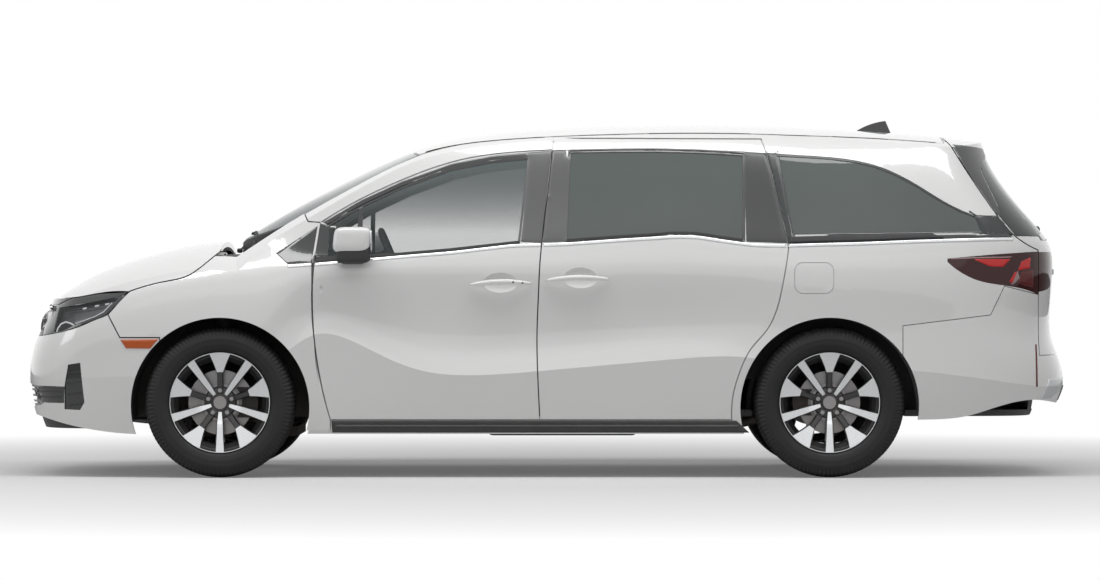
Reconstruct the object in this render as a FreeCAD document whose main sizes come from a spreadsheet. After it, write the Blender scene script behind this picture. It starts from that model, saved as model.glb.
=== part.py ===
"""Full-size seven-seat minivan with hinged front doors, hood and tailgate, steered front wheels and rolling wheels.

Frame: origin on the ground under the middle of the car, front towards -X, left side towards -Y, +Z up. Millimetres.
The body is one wrap-around skin per side, drawn as control sections from the front middle round to the rear middle.
Panels are the layers between that skin and copies of it set deeper, cut along the real shut lines.
"""
import FreeCAD, Part
import math
import os
import Sketcher
from FreeCAD import Vector, Placement, Rotation

SIZES = [
    ("OverallLength", 5212, "bumper to bumper"),
    ("OverallWidth", 1994, "over the doors, without mirrors"),
    ("RoofHeight", 1758, "ground to the crown of the roof"),
    ("Wheelbase", 3000, "front axle to rear axle"),
    ("FrontOverhang", 1000, "front bumper to front axle"),
    ("TrackWidth", 1710, "between the tyres' middle planes"),
    ("PanelGap", 6, "shut line between two panels"),
    ("WallDepth", 105, "outer skin to inner trim of doors and sides"),
    ("FrameDepth", 45, "outer skin to inner face of a window frame"),
    ("FlangeDepth", 14, "door's outer flange, and panels that have one skin"),
    ("FlangeWidth", 34, "how far the flange stands out past the door's plug"),
    ("ApertureInset", 20, "how far the door opening in the body is inside the shut line"),
    ("PanelDepth", 25, "fenders, hood and bumpers, skin with its inner stiffening"),
    ("GlassThick", 5, "side, front and rear glass"),
    ("GlassSink", 5, "outer skin to the glass's outer face"),
    ("GlassFit", 0.4, "glass edge to its frame"),
    ("LampDepth", 60, "lamp housing, lens to back"),
    ("LampFit", 3, "gap round a lamp"),
    ("ArchRadius", 440, "wheel arch opening"),
    ("ArchDrop", 22, "arch centre below the axle"),
    ("LipWidth", 58, "band of the arch flare"),
    ("LipProud", 9, "how far the flare stands out of the skin"),
    ("TyreRadius", 370, "tyre outside radius"),
    ("TyreWidth", 235, "tyre section width"),
    ("RimRadius", 229, "bead seat radius of the wheel"),
    ("RimWidth", 203, "wheel width over its flanges"),
    ("RimFlange", 18, "wheel flange height above the bead seat"),
    ("HubOffset", 45, "wheel's mounting face outside its middle plane"),
    ("HubBore", 32, "radius of the wheel's centre bore"),
    ("StudCircle", 60, "radius of the wheel stud circle"),
    ("DiscRadius", 160, "front brake disc"),
    ("DiscThick", 25, "front brake disc"),
    ("KingpinInset", 75, "steering axis inside the tyre's middle plane"),
    ("DoorOpen", 65, "front door's full opening, degrees"),
    ("FloorHeight", 330, "top of the cabin floor"),
    ("FloorThick", 30, "cabin floor"),
    ("FloorHalf", 860, "half width of the cabin floor"),
    ("SeatWidth", 520, "front seat and captain's chair"),
    ("SeatDepth", 500, "seat cushion length"),
    ("SeatThick", 140, "seat cushion thickness"),
    ("BackHeight", 640, "seat back height"),
    ("BackThick", 120, "seat back thickness"),
    ("SteerRadius", 188, "steering wheel rim"),
    ("SteerRim", 16, "steering wheel rim section radius"),
    ("Fit", 0.3, "running gap where one piece sits on or in another"),
    ("GlassLap", 12, "how far glass reaches over the frame behind it"),
    ("HingeBack", 45, "front door's hinge axis behind its front edge"),
    ("HingeDepth", 20, "front door's hinge axis under the skin"),
    ("HingePin", 6, "radius of the door hinge pins"),
    ("KnuckleRadius", 11, "radius of the door hinge knuckles"),
    ("SwingRoom", 6, "room round the front door's leading edge as it swings"),
    ("RoofDepth", 25, "roof skin with its inner stiffening"),
    ("CarrierDepth", 42, "inner face of the carrier behind bumper and fenders"),
    ("ScoopDepth", 11, "hollow behind a pull handle, below the skin"),
    ("FuelDoorGap", 3, "shut line round the fuel door"),
    ("LinerThick", 8, "wheelhouse liner, arch edge to its outer face"),
    ("GateLip", 10, "tailgate's thin front lip, which passes over the roof's edge as it opens"),
    ("HatchPivot", 60, "tailgate hinge axis ahead of its front edge"),
    ("HoodHingeX", -1600, "hood hinge axis, station"),
    ("HoodHingeZ", 1100, "hood hinge axis, height"),
    ("CowlSink", 62, "cowl tray under the line of the hood"),
]

doc = FreeCAD.newDocument("Minivan")
sheet = doc.addObject("Spreadsheet::Sheet", "Sizes")
for row, (alias, value, note) in enumerate(SIZES, start=1):
    sheet.set("A%d" % row, alias)
    sheet.set("B%d" % row, str(value))
    sheet.setAlias("B%d" % row, alias)
    sheet.set("C%d" % row, note)
doc.recompute()


def size(alias):
    """The value of a named size in the sheet."""
    return float(sheet.get(alias))


# The drawing's own lengths, on which the stations and outlines below were laid out
DRAWN_LENGTH, DRAWN_WIDTH, DRAWN_ROOF = 5212.0, 1994.0, 1758.0
DRAWN_AXLES = (-1606.0, 1394.0)
HALF = size("OverallLength") / 2
FRONT_AXLE = size("FrontOverhang") - HALF
REAR_AXLE = FRONT_AXLE + size("Wheelbase")
HALF_WIDTH = size("OverallWidth") / 2
FAR = 4000.0


def along(x):
    """A drawn station moved to the real length: ends and axles stay on theirs, and all between shares the change."""
    marks = [(-DRAWN_LENGTH / 2, -HALF), (DRAWN_AXLES[0], FRONT_AXLE), (DRAWN_AXLES[1], REAR_AXLE), (DRAWN_LENGTH / 2, HALF)]
    if x <= marks[0][0]:
        return x - marks[0][0] + marks[0][1]
    for (a, real_a), (b, real_b) in zip(marks, marks[1:]):
        if x <= b:
            return real_a + (x - a) * (real_b - real_a) / (b - a)
    return x - marks[-1][0] + marks[-1][1]


def out(y):
    """A drawn half width moved to the real width."""
    return y * size("OverallWidth") / DRAWN_WIDTH


def up(z):
    """A drawn height moved to the real roof height."""
    return z * size("RoofHeight") / DRAWN_ROOF


# Surfaces and solids from control nets

def uniform_knots(count, degree):
    """Clamped, evenly spaced knots and their multiplicities for that many poles."""
    inner = count - degree - 1
    knots = [i / (inner + 1) for i in range(inner + 2)]
    return knots, [degree + 1] + [1] * inner + [degree + 1]


def net_face(net, degree_u=3, degree_v=3):
    """One smooth face from a net of control points, net[u][v]."""
    surface = Part.BSplineSurface()
    knots_u, mults_u = uniform_knots(len(net), degree_u)
    knots_v, mults_v = uniform_knots(len(net[0]), degree_v)
    surface.buildFromPolesMultsKnots(net, mults_u, mults_v, knots_u, knots_v, False, False, degree_u, degree_v)
    return surface.toShape()


def control_curve(points, degree=3):
    """The curve with those control points, the edge of a net face whose last row they are."""
    curve = Part.BSplineCurve()
    knots, mults = uniform_knots(len(points), degree)
    curve.buildFromPolesMultsKnots(points, mults, knots, False, degree)
    return curve.toShape()


def closed_solid(faces):
    """One solid from faces that meet edge to edge."""
    shell = Part.makeShell(faces)
    shell.sewShape()
    shell = shell.Shells[0] if shell.Shells else shell
    solid = Part.makeSolid(shell)
    if solid.Volume < 0:
        solid.reverse()
    return solid


# Body sections: (inset from the plan's half width, height) from the sill's foot to over the roof, rows 0 to 13
ROWS = 14
CREASE = 2
FOOT, TOP = 120, 1900


def door_section(crease, belt, scoop):
    """A section through the doors: crease height, belt height, and how deep the scoop above the crease is."""
    rise = 960 - crease
    return [(110, FOOT), (50, 320), (2, crease), (44 * scoop + 2, crease + 0.28 * rise), (30 * scoop + 2, crease + 0.66 * rise),
            (3, 965), (4, 1060), (34, belt), (78, belt + 85), (150, 1400), (214, 1560), (272, 1668), (360, 1745), (600, TOP)]


def fender_section(hood):
    """A section through the hood and fender, by the hood's height in the middle."""
    return [(110, FOOT), (50, 320), (12, 500), (4, 640), (3, 760), (12, hood - 230), (45, hood - 155), (115, hood - 100),
            (225, hood - 62), (380, hood - 20), (500, hood + 120), (560, hood + 330), (600, hood + 520), (640, TOP)]


COWL = [(110, FOOT), (50, 320), (10, 540), (4, 680), (2, 800), (10, 920), (32, 1010), (74, 1080), (122, 1140), (190, 1240),
        (262, 1370), (340, 1510), (430, 1650), (620, TOP)]
QUARTER = [(110, FOOT), (46, 320), (6, 540), (10, 680), (8, 820), (3, 950), (8, 1050), (34, 1150), (74, 1232), (142, 1385),
           (210, 1535), (282, 1650), (380, 1735), (620, TOP)]
# The profiles down the middle of the nose and of the tail: (inset, height, how far forward of the drawn end it is)
NOSE = [(90, FOOT, -110), (40, 295, -8), (0, 470, 0), (0, 590, 0), (0, 690, -34), (6, 800, -90), (30, 900, -128), (60, 1000, -160),
        (90, 1120, -190), (120, 1280, -215), (150, 1450, -235), (180, 1600, -250), (220, 1750, -265), (300, TOP, -280)]
TAIL = [(90, FOOT, 150), (30, 360, 24), (0, 440, 0), (0, 560, 0), (6, 650, 62), (6, 800, 70), (8, 960, 52), (14, 1100, 46),
        (30, 1195, 78), (90, 1330, 205), (150, 1480, 320), (215, 1600, 385), (300, 1720, 415), (520, TOP, 440)]

# Columns of the net: (station, half width, side section, share of the nose profile, share of the tail profile)
COLUMNS = [
    (-2606, 0, fender_section(920), 1, 0),
    (-2606, 330, fender_section(920), 1, 0),
    (-2578, 620, fender_section(920), 1, 0),
    (-2490, 820, fender_section(930), 0.85, 0),
    (-2325, 925, fender_section(980), 0.35, 0),
    (-2090, 970, fender_section(1080), 0, 0),
    (-1830, 990, fender_section(1142), 0, 0),
    (-1560, 994, [((a[0] + b[0]) / 2, (a[1] + b[1]) / 2) for a, b in zip(fender_section(1172), COWL)], 0, 0),
    (-1340, 994, COWL, 0, 0),
    (-1130, 994, door_section(770, 1062, 0.75), 0, 0),
    (-860, 994, door_section(625, 1085, 1), 0, 0),
    (-620, 994, door_section(512, 1106, 1), 0, 0),
    (-350, 995, door_section(500, 1132, 1), 0, 0),
    (-50, 996, door_section(524, 1154, 1), 0, 0),
    (300, 998, door_section(556, 1178, 1), 0, 0),
    (640, 999, door_section(586, 1206, 0.9), 0, 0),
    (960, 1000, door_section(612, 1150, 0.5), 0, 0),
    (1250, 1000, QUARTER, 0, 0),
    (1550, 998, QUARTER, 0, 0),
    (1850, 986, QUARTER, 0, 0.12),
    (2130, 958, QUARTER, 0, 0.5),
    (2370, 900, QUARTER, 0, 0.85),
    (2520, 780, QUARTER, 0, 1),
    (2588, 560, QUARTER, 0, 1),
    (2606, 290, QUARTER, 0, 1),
    (2606, 0, QUARTER, 0, 1),
]


def plan_shift(index, depth):
    """The plan's column moved inwards by a depth, along the plan outline's own normal."""
    x, y = COLUMNS[index][0], COLUMNS[index][1]
    before, after = COLUMNS[max(index - 1, 0)], COLUMNS[min(index + 1, len(COLUMNS) - 1)]
    if y == 0:
        return x + math.copysign(depth, -x), 0.0
    run_x, run_y = after[0] - before[0], after[1] - before[1]
    length = math.hypot(run_x, run_y)
    return x + depth * run_y / length, y - depth * run_x / length


def skin_net(depth=0.0):
    """Control points of the left side's skin, moved inwards by a depth: net[column][row]."""
    net = []
    for index, (_, _, section, nose, tail) in enumerate(COLUMNS):
        x, y = plan_shift(index, depth)
        column = []
        for row in range(ROWS):
            inset, height = section[row][:2]
            side = 1 - nose - tail
            height = side * height + nose * NOSE[row][1] + tail * TAIL[row][1]
            inset = side * inset + nose * NOSE[row][0] + tail * TAIL[row][0]
            lean = tail * TAIL[row][2] + nose * NOSE[row][2]
            station = x - lean
            width = y * (1 - inset / (DRAWN_WIDTH / 2))
            column.append(Vector(along(station), -out(width), up(height)))
        net.append(column)
    return net


def skin_solid(depth=0.0, mirrored=False):
    """Everything on the left of the middle plane and inside the skin set that deep."""
    net = skin_net(depth)
    lower = net_face([column[:CREASE + 1] for column in net], 3, 2)
    upper = net_face([column[CREASE:] for column in net], 3, 3)
    ends = []
    for column in (net[0], net[-1]):
        ends.append([control_curve(column[:CREASE + 1], 2), control_curve(column[CREASE:], 3)])
    foot = control_curve([column[0] for column in net])
    head = control_curve([column[-1] for column in net])
    foot_line = Part.makeLine(net[0][0], net[-1][0])
    head_line = Part.makeLine(net[0][-1], net[-1][-1])
    middle = Part.Face(Part.Wire(Part.__sortEdges__([foot_line, head_line] + ends[0] + ends[1])))
    floor = Part.Face(Part.Wire(Part.__sortEdges__([foot, foot_line])))
    roof = Part.Face(Part.Wire(Part.__sortEdges__([head, head_line])))
    return closed_solid([lower, upper, middle, floor, roof])




# Hood, and windshield with roof, as surfaces over the plan: (station, height in the middle), front to rear

HOOD_LINE = [(-2780, 560), (-2660, 700), (-2560, 815), (-2461, 900), (-2357, 968), (-2253, 1022), (-2150, 1060), (-2046, 1094),
             (-1942, 1121), (-1838, 1146), (-1734, 1163), (-1640, 1172), (-1500, 1165), (-1300, 1120), (-1000, 980), (-600, 700)]
HOOD_DROPS = [(0, 0), (150, 2), (330, 9), (560, 32), (760, 78), (900, 130), (1120, 230)]
CANOPY_LINE = [(-2700, 395), (-2300, 665), (-1950, 905), (-1720, 1065), (-1500, 1210), (-1300, 1332), (-1100, 1437), (-900, 1536),
               (-750, 1602), (-620, 1652), (-450, 1695), (-250, 1722), (0, 1742), (300, 1757), (657, 1763), (1000, 1760),
               (1350, 1746), (1700, 1727), (2000, 1703), (2250, 1672), (2500, 1630), (2800, 1570)]
GLASS_SHARE = [1, 1, 1, 1, 1, 1, 1, 0.85, 0.6, 0.35, 0.15, 0.05] + [0] * 10
GLASS_SETBACK = [(0, 0), (150, 0), (350, 26), (550, 72), (720, 135), (880, 215), (1120, 400)]
ROOF_DROPS = [(0, 0), (150, 0), (350, 9), (550, 30), (720, 66), (880, 150), (1120, 330)]


def across(half):
    """Values given from the middle outwards, for both sides."""
    return [(-y, value) for y, value in half[:0:-1]] + half


def hood_top(depth=0.0):
    """Everything below the hood's surface, set that deep."""
    net = []
    for station, height in HOOD_LINE:
        net.append([Vector(along(station), -out(y), up(height - drop) - depth) for y, drop in across(HOOD_DROPS)])
    return net_face(net).extrude(Vector(0, 0, -3000))


def canopy_top(depth=0.0):
    """Everything below the windshield and the roof, set that deep."""
    net = []
    for (station, height), share in zip(CANOPY_LINE, GLASS_SHARE):
        row = []
        for (y, setback), (_, drop) in zip(across(GLASS_SETBACK), across(ROOF_DROPS)):
            lean = 0.48 * share
            x = along(station + share * setback) + depth * lean
            row.append(Vector(x, -out(y), up(height - (1 - share) * drop) - depth * math.sqrt(1 - lean * lean)))
        net.append(row)
    return net_face(net).extrude(Vector(0, 0, -3000))


cached = {}


def once(make, *values):
    """The solid made by that function from those values, made once."""
    key = (make.__name__,) + values
    if key not in cached:
        cached[key] = make(*values)
    return cached[key]


LEFT_HALF = Part.makeBox(8000, 2000, 4000, Vector(-4000, -2000, -1000))


def skin(depth):
    """Everything on the left inside the side skin set that deep, from under the sill to over the roof."""
    return once(skin_solid, round(depth, 3))


def top(kind, depth):
    """Everything below one of the car's upper surfaces, set that deep."""
    return once({"hood": hood_top, "canopy": canopy_top}[kind], round(depth, 3))


def below(shape, kind, depth):
    """The part of a shape below an upper surface set that deep. The crown is the higher of hood and canopy."""
    if kind == "crown":
        return shape.common(top("hood", depth).common(LEFT_HALF)).fuse(shape.common(top("canopy", depth)))
    return shape.common(top(kind, depth))


def above(shape, kind, depth):
    """The part of a shape above an upper surface set that deep."""
    return shape.cut([top(each, depth) for each in (("hood", "canopy") if kind == "crown" else (kind,))])


# Outlines: a list of runs, each one smooth curve through its points, that meet in corners

def signed_area(runs):
    points = [p for run in runs for p in run[:-1]]
    return sum(a[0] * b[1] - b[0] * a[1] for a, b in zip(points, points[1:] + points[:1])) / 2


def offset_runs(runs, distance):
    """The outline moved inwards by a distance, or outwards by a negative one, with its corners kept sharp."""
    turn = 1 if signed_area(runs) > 0 else -1
    moved = []
    for run in runs:
        normals = []
        for (ax, az), (bx, bz) in zip(run, run[1:]):
            length = math.hypot(bx - ax, bz - az)
            normals.append((-(bz - az) / length * turn, (bx - ax) / length * turn))
        line = []
        for i, (x, z) in enumerate(run):
            first = normals[max(i - 1, 0)]
            second = normals[min(i, len(normals) - 1)]
            nx, nz = first[0] + second[0], first[1] + second[1]
            scale = distance * 2 / (nx * nx + nz * nz)
            line.append((x + nx * scale, z + nz * scale))
        moved.append(line)
    for i, run in enumerate(moved):
        after = moved[(i + 1) % len(moved)]
        corner = crossing(run[-2], run[-1], after[0], after[1])
        run[-1] = corner
        after[0] = corner
    return moved


def crossing(a, b, c, d):
    """Where the line through a and b meets the line through c and d."""
    r = (b[0] - a[0], b[1] - a[1])
    s = (d[0] - c[0], d[1] - c[1])
    cross = r[0] * s[1] - r[1] * s[0]
    if abs(cross) < 1e-3 * math.hypot(*r) * math.hypot(*s):
        return ((b[0] + c[0]) / 2, (b[1] + c[1]) / 2)
    t = ((c[0] - a[0]) * s[1] - (c[1] - a[1]) * s[0]) / cross
    return (a[0] + t * r[0], a[1] + t * r[1])


PLANES = {
    "side": (lambda a, b: Vector(along(a), 0, up(b)), Vector(0, -1, 0)),
    "plan": (lambda a, b: Vector(along(a), -out(b), 0), Vector(0, 0, 1)),
    "end": (lambda a, b: Vector(0, -out(a), up(b)), Vector(1, 0, 0)),
}


def prism(runs, offset=0.0, plane="side", start=None, stop=None):
    """A block with that outline: across the left half, or upwards, or along the car."""
    default = {"side": (-10, 1400), "plan": (100, 1950), "end": (-3200, 3200)}[plane]
    start, stop = default[0] if start is None else start, default[1] if stop is None else stop
    place, direction = PLANES[plane]
    edges = []
    for run in offset_runs(runs, offset) if offset else runs:
        points = [place(*p) + direction * start for p in run]
        if len(points) == 2:
            edges.append(Part.makeLine(points[0], points[1]))
        else:
            curve = Part.BSplineCurve()
            curve.interpolate(points)
            edges.append(curve.toShape())
    return Part.Face(Part.Wire(edges)).extrude(direction * (stop - start))


def corners(points):
    """An outline of straight lines."""
    return [[a, b] for a, b in zip(points, points[1:] + points[:1])]


def common(first, *others):
    for other in others:
        first = first.common(other)
    return first


def layer(outer, inner, *blocks, upper=None, upper_inner=None, side=True):
    """What is in every block and between two depths under the skin: the side skin, an upper surface or both."""
    outlined = common(*blocks)
    bounds = outlined.BoundBox
    bounds.enlarge(60)
    room = Part.makeBox(bounds.XLength, min(bounds.YLength, bounds.YMax + 4000), bounds.ZLength, Vector(bounds.XMin, bounds.YMin, bounds.ZMin))
    hollow = room
    if not side:
        outlined = outlined.common(LEFT_HALF)
    if side:
        outlined = outlined.common(skin(outer))
        hollow = hollow.common(skin(inner))
    if upper:
        outlined = below(outlined, upper, outer)
        hollow = below(hollow, upper, inner if upper_inner is None else upper_inner)
    return outlined.cut(hollow)


def mirrored(shape):
    return shape.mirror(Vector(0, 0, 0), Vector(0, 1, 0))


def both(shape):
    """The left shape and its mirror image as two solids of one piece."""
    return Part.makeCompound(shape.Solids + mirrored(shape).Solids)


def whole(shape):
    """A half that reaches the middle plane, joined with its mirror image."""
    return shape.fuse(mirrored(shape)).removeSplitter()


def block(x0, x1, y0, y1, z0, z1):
    """A box between drawn stations, half widths (negative is the left) and heights."""
    x0, x1, y0, y1, z0, z1 = along(x0), along(x1), out(y0), out(y1), up(z0), up(z1)
    return Part.makeBox(x1 - x0, y1 - y0, z1 - z0, Vector(x0, y0, z0))


def rod(a, b, radius):
    """A round bar from one point to another."""
    a, b = Vector(*a), Vector(*b)
    return Part.makeCylinder(radius, (b - a).Length, a, b - a)


FRONT_DOOR_EDGE = [(-1063, 285), (-1100, 427), (-1128, 585), (-1148, 788), (-1150, 880), (-1146, 1000), (-1140, 1060), (-1112, 1257)]
DOOR_TOP = [(-1112, 1257), (-917, 1373), (-717, 1467), (-467, 1558), (-267, 1597), (-67, 1614), (30, 1619)]
PILLAR_LINE = [(30, 1619), (-12, 1250), (-32, 1050), (-39, 900), (-46, 707), (-42, 500), (-32, 285)]
FRONT_DOOR = [FRONT_DOOR_EDGE, DOOR_TOP, PILLAR_LINE, [(-32, 285), (-1063, 285)]]
SLIDING_DOOR = [PILLAR_LINE[::-1], [(30, 1619), (38, 1678)], [(38, 1678), (1066, 1674)],
                [(1066, 1674), (1084, 1620), (1118, 1490), (1183, 1180), (1190, 1136), (1187, 1100), (1161, 951),
                 (1106, 765), (1077, 719), (1007, 638), (950, 522), (920, 418), (913, 285)],
                [(913, 285), (-32, 285)]]
FRONT_WINDOW = [[(-1080, 1084), (-717, 1106), (-467, 1128), (-140, 1164)], [(-140, 1164), (-92, 1570)],
                [(-92, 1570), (-267, 1553), (-467, 1514), (-717, 1422), (-917, 1328), (-1070, 1238)], [(-1070, 1238), (-1080, 1084)]]
SLIDING_WINDOW = [[(98, 1176), (383, 1194), (533, 1204), (640, 1210), (733, 1207), (833, 1193), (966, 1176)],
                  [(966, 1176), (976, 1586)], [(976, 1586), (733, 1600), (533, 1605), (333, 1604), (120, 1600)],
                  [(120, 1600), (98, 1176)]]
QUARTER_WINDOW = [[(1222, 1200), (2150, 1212)], [(2150, 1212), (2120, 1280)],
                  [(2120, 1280), (2033, 1312), (1933, 1366), (1833, 1430), (1733, 1486), (1633, 1528), (1533, 1553), (1383, 1572), (1150, 1588)],
                  [(1150, 1588), (1222, 1200)]]
HOOD_SIDE = [(-2057, 915), (-1967, 945), (-1867, 968), (-1767, 993), (-1700, 1040), (-1622, 1118)]
HOOD_REGION = [[(-2620, 880), (-2461, 884), (-2347, 885), (-2200, 908), (-2057, 915)], HOOD_SIDE, [(-1622, 1118), (-1622, 1300)],
               [(-1622, 1300), (-2620, 1300)], [(-2620, 1300), (-2620, 880)]]
LAMP = [[(-2660, 842), (-2417, 850), (-2347, 882), (-2200, 905), (-2057, 912)],
        [(-2057, 912), (-2077, 893), (-2117, 850), (-2162, 803), (-2217, 780), (-2287, 750), (-2367, 725), (-2660, 690)],
        [(-2660, 690), (-2660, 842)]]
LAMP_SIDE = [[(520, 950), (535, 770)], [(535, 770), (575, 600)], [(575, 600), (1300, 600)], [(1300, 600), (1300, 950)], [(1300, 950), (520, 950)]]
FENDER_SEAM = [(-2157, 803), (-2097, 690), (-1900, 690)]
ARCH_CENTRES = [(DRAWN_AXLES[0], 348), (DRAWN_AXLES[1], 348)]
FENDER = [[(-2057, 915), (-2077, 893), (-2117, 850), (-2157, 803)], [(-2157, 803), (-2097, 690)], [(-2097, 690), (-1900, 690)],
          [(-1900, 690), (-1900, 230)], [(-1900, 230), (-1063, 230)], [(-1063, 230), (-1063, 285)], FRONT_DOOR_EDGE,
          [(-1112, 1257), (-1175, 1262)], [(-1175, 1262), (-1215, 1330)], [(-1215, 1330), (-1622, 1330)], [(-1622, 1330), (-1622, 1118)],
          HOOD_SIDE[::-1]]
FRONT_BUMPER = [[(-2700, 290), (-2540, 298), (-2400, 265), (-2200, 226), (-1900, 215)], [(-1900, 215), (-1900, 690)],
                [(-1900, 690), (-2097, 690)], [(-2097, 690), (-2157, 803)], [(-2157, 803), (-2200, 860)],
                [(-2200, 860), (-2347, 885), (-2461, 884), (-2620, 880)], [(-2620, 880), (-2700, 880)],
                [(-2700, 880), (-2700, 290)]]
GRILLE = [[(0, 838), (300, 834), (500, 822)], [(500, 822), (520, 760), (500, 690)], [(500, 690), (300, 668), (0, 662)],
          [(0, 662), (-80, 662)], [(-80, 662), (-80, 838)], [(-80, 838), (0, 838)]]
INTAKE = [[(0, 462), (400, 460), (690, 452)], [(690, 452), (745, 400)], [(745, 400), (700, 352)], [(700, 352), (400, 340), (0, 336)],
          [(0, 336), (-80, 336)], [(-80, 336), (-80, 462)], [(-80, 462), (0, 462)]]
SIDE_VENT = [[(-2377, 450), (-2358, 556)], [(-2358, 556), (-2296, 566)], [(-2296, 566), (-2277, 370)], [(-2277, 370), (-2300, 332)],
             [(-2300, 332), (-2380, 335)], [(-2380, 335), (-2377, 450)]]
TAILGATE = [[(1996, 1800), (1996, 1668)], [(1996, 1668), (2100, 1490), (2228, 1295)], [(2228, 1295), (2323, 1185), (2436, 1122)],
            [(2436, 1122), (2436, 600)], [(2436, 600), (2720, 600)], [(2720, 600), (2720, 1800)],
            [(2720, 1800), (1996, 1800)]]
TAIL_WINDOW = [[(0, 1196), (400, 1192), (628, 1180)], [(628, 1180), (655, 1215)], [(655, 1215), (610, 1400), (545, 1560)],
               [(545, 1560), (300, 1578), (0, 1582)], [(0, 1582), (-80, 1582)], [(-80, 1582), (-80, 1196)], [(-80, 1196), (0, 1196)]]
TAIL_LAMP = [[(1973, 1078), (2200, 1098), (2436, 1114)], [(2436, 1114), (2436, 900)],
             [(2436, 900), (2233, 950), (2113, 975), (2033, 1015), (1973, 1062)], [(1973, 1062), (1973, 1078)]]
REAR_BUMPER = [[(1753, 747), (2188, 800)], [(2188, 800), (2258, 942)], [(2258, 942), (2436, 900)], [(2436, 900), (2436, 600)],
               [(2436, 600), (2720, 600)], [(2720, 600), (2720, 345)],
               [(2720, 345), (2540, 362), (2433, 380), (2183, 335), (2083, 305), (1843, 285), (1753, 283)], [(1753, 283), (1753, 747)]]
BODY_SIDE = [[(-1063, 212), (-1063, 285)], FRONT_DOOR_EDGE, [(-1112, 1257), (-1175, 1262)], [(-1175, 1262), (-1215, 1330)],
             [(-1215, 1330), (-1215, 1900)], [(-1215, 1900), (1996, 1900)], [(1996, 1900), (1996, 1668)],
             [(1996, 1668), (2100, 1490), (2228, 1295)], [(2228, 1295), (2323, 1185), (2436, 1122)], [(2436, 1122), (2436, 900)], [(2436, 900), (2258, 942)], [(2258, 942), (2188, 800)], [(2188, 800), (1753, 747)],
             [(1753, 747), (1753, 212)], [(1753, 212), (-1063, 212)]]
COWL_TRAY = [[(-1622, 0), (-1622, 740)], [(-1622, 740), (-1278, 728)], [(-1278, 728), (-1405, 560), (-1500, 300), (-1545, 0)],
             [(-1545, 0), (-1545, -80)], [(-1545, -80), (-1622, -80)], [(-1622, -80), (-1622, 0)]]
COWL_RAIL = [[(-1550, 0), (-1505, 300), (-1410, 560), (-1283, 722)], [(-1283, 722), (-1245, 722)],
             [(-1245, 722), (-1370, 560), (-1465, 300), (-1510, 0)], [(-1510, 0), (-1510, -80)], [(-1510, -80), (-1550, -80)], [(-1550, -80), (-1550, 0)]]
BELT_BELOW = [[(-1400, 100), (1400, 100)], [(1400, 100), (1400, 1105)], [(1400, 1105), (960, 1130), (640, 1162), (250, 1135), (-100, 1105), (-600, 1062), (-1400, 990)],
              [(-1400, 990), (-1400, 100)]]
WINDSHIELD = [[(-1545, 0), (-1500, 300), (-1405, 560), (-1285, 725)], [(-1285, 725), (-900, 712), (-640, 640)],
              [(-640, 640), (-672, 400), (-690, 0)], [(-690, 0), (-690, -80)], [(-690, -80), (-1545, -80)], [(-1545, -80), (-1545, 0)]]
ROOF_PANEL = [[(-684, 0), (-666, 400), (-634, 640)], [(-634, 640), (300, 668), (1200, 664), (1979, 628)], [(1979, 628), (1979, -80)],
              [(1979, -80), (-684, -80)], [(-684, -80), (-684, 0)]]




GAP = size("PanelGap") / 2
FIT = size("Fit")
PANEL = size("PanelDepth")
WALL = size("WallDepth")
GLASS_BACK = size("GlassSink") + size("GlassThick")
PIECES = {}


def piece(label, shape):
    """One sub-part of the car, drawn by its own shape."""
    feature = doc.addObject("Part::Feature", label)
    feature.Label = label
    feature.Shape = shape
    PIECES[label] = feature
    return feature


def glazed(shape, outline):
    """The shape with a window opening through the side, and a rebate outside it that the glass sits in."""
    seat = prism(outline, -size("GlassLap") - size("GlassFit")).cut(skin(GLASS_BACK + size("GlassFit")))
    return shape.cut([prism(outline), seat])


def pane(outline):
    """The glass of a side window."""
    return layer(size("GlassSink"), GLASS_BACK, prism(outline, -size("GlassLap")))


def arch(index, radius):
    """The room of a wheel arch, as a cylinder across the left half."""
    centre = Vector(FRONT_AXLE if index == 0 else REAR_AXLE, 50, size("TyreRadius") - size("ArchDrop"))
    return Part.makeCylinder(radius, 1300, centre, Vector(0, -1, 0))


# Doors

SKIN_AT_HINGE = HALF_WIDTH - out(6)
HINGE = Vector(along(-1150) + size("HingeBack"), size("HingeDepth") - SKIN_AT_HINGE, 0)
SWING = math.hypot(size("HingeBack"), size("HingeDepth")) + size("SwingRoom")
SWING_ROOM = Part.makeCylinder(SWING, up(980), HINGE + Vector(0, 0, up(290)))
HINGE_HEIGHTS = (670, 940)
# how far the door's leading edge reaches ahead of the hinge, by height: the fender behind its skin gives it that room
LEADING_EDGE = [(405, 10), (470, 21), (585, 31.5), (788, 49.5), (880, 51.5), (1290, 51.5)]
EDGE_ROOM = Part.makeCone(LEADING_EDGE[0][1], LEADING_EDGE[1][1], up(65), HINGE + Vector(0, 0, up(405))).fuse(
    [Part.makeCone(low[1], high[1], up(high[0] - low[0]), HINGE + Vector(0, 0, up(low[0]))) if low[1] != high[1] else
     Part.makeCylinder(low[1], up(high[0] - low[0]), HINGE + Vector(0, 0, up(low[0])))
     for low, high in zip(LEADING_EDGE[1:], LEADING_EDGE[2:])])


def door(outline, window):
    """A door: outer flange, thick lower plug, slimmer frame round its window."""
    flange = layer(0, size("FlangeDepth"), prism(outline, GAP))
    plug_outline = prism(outline, size("FlangeWidth"))
    plug = layer(size("FlangeDepth") - 1, WALL, plug_outline.common(prism(BELT_BELOW)))
    frame = layer(size("FlangeDepth") - 1, size("FrameDepth"), plug_outline)
    return glazed(flange.fuse([plug, frame]), window)


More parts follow.
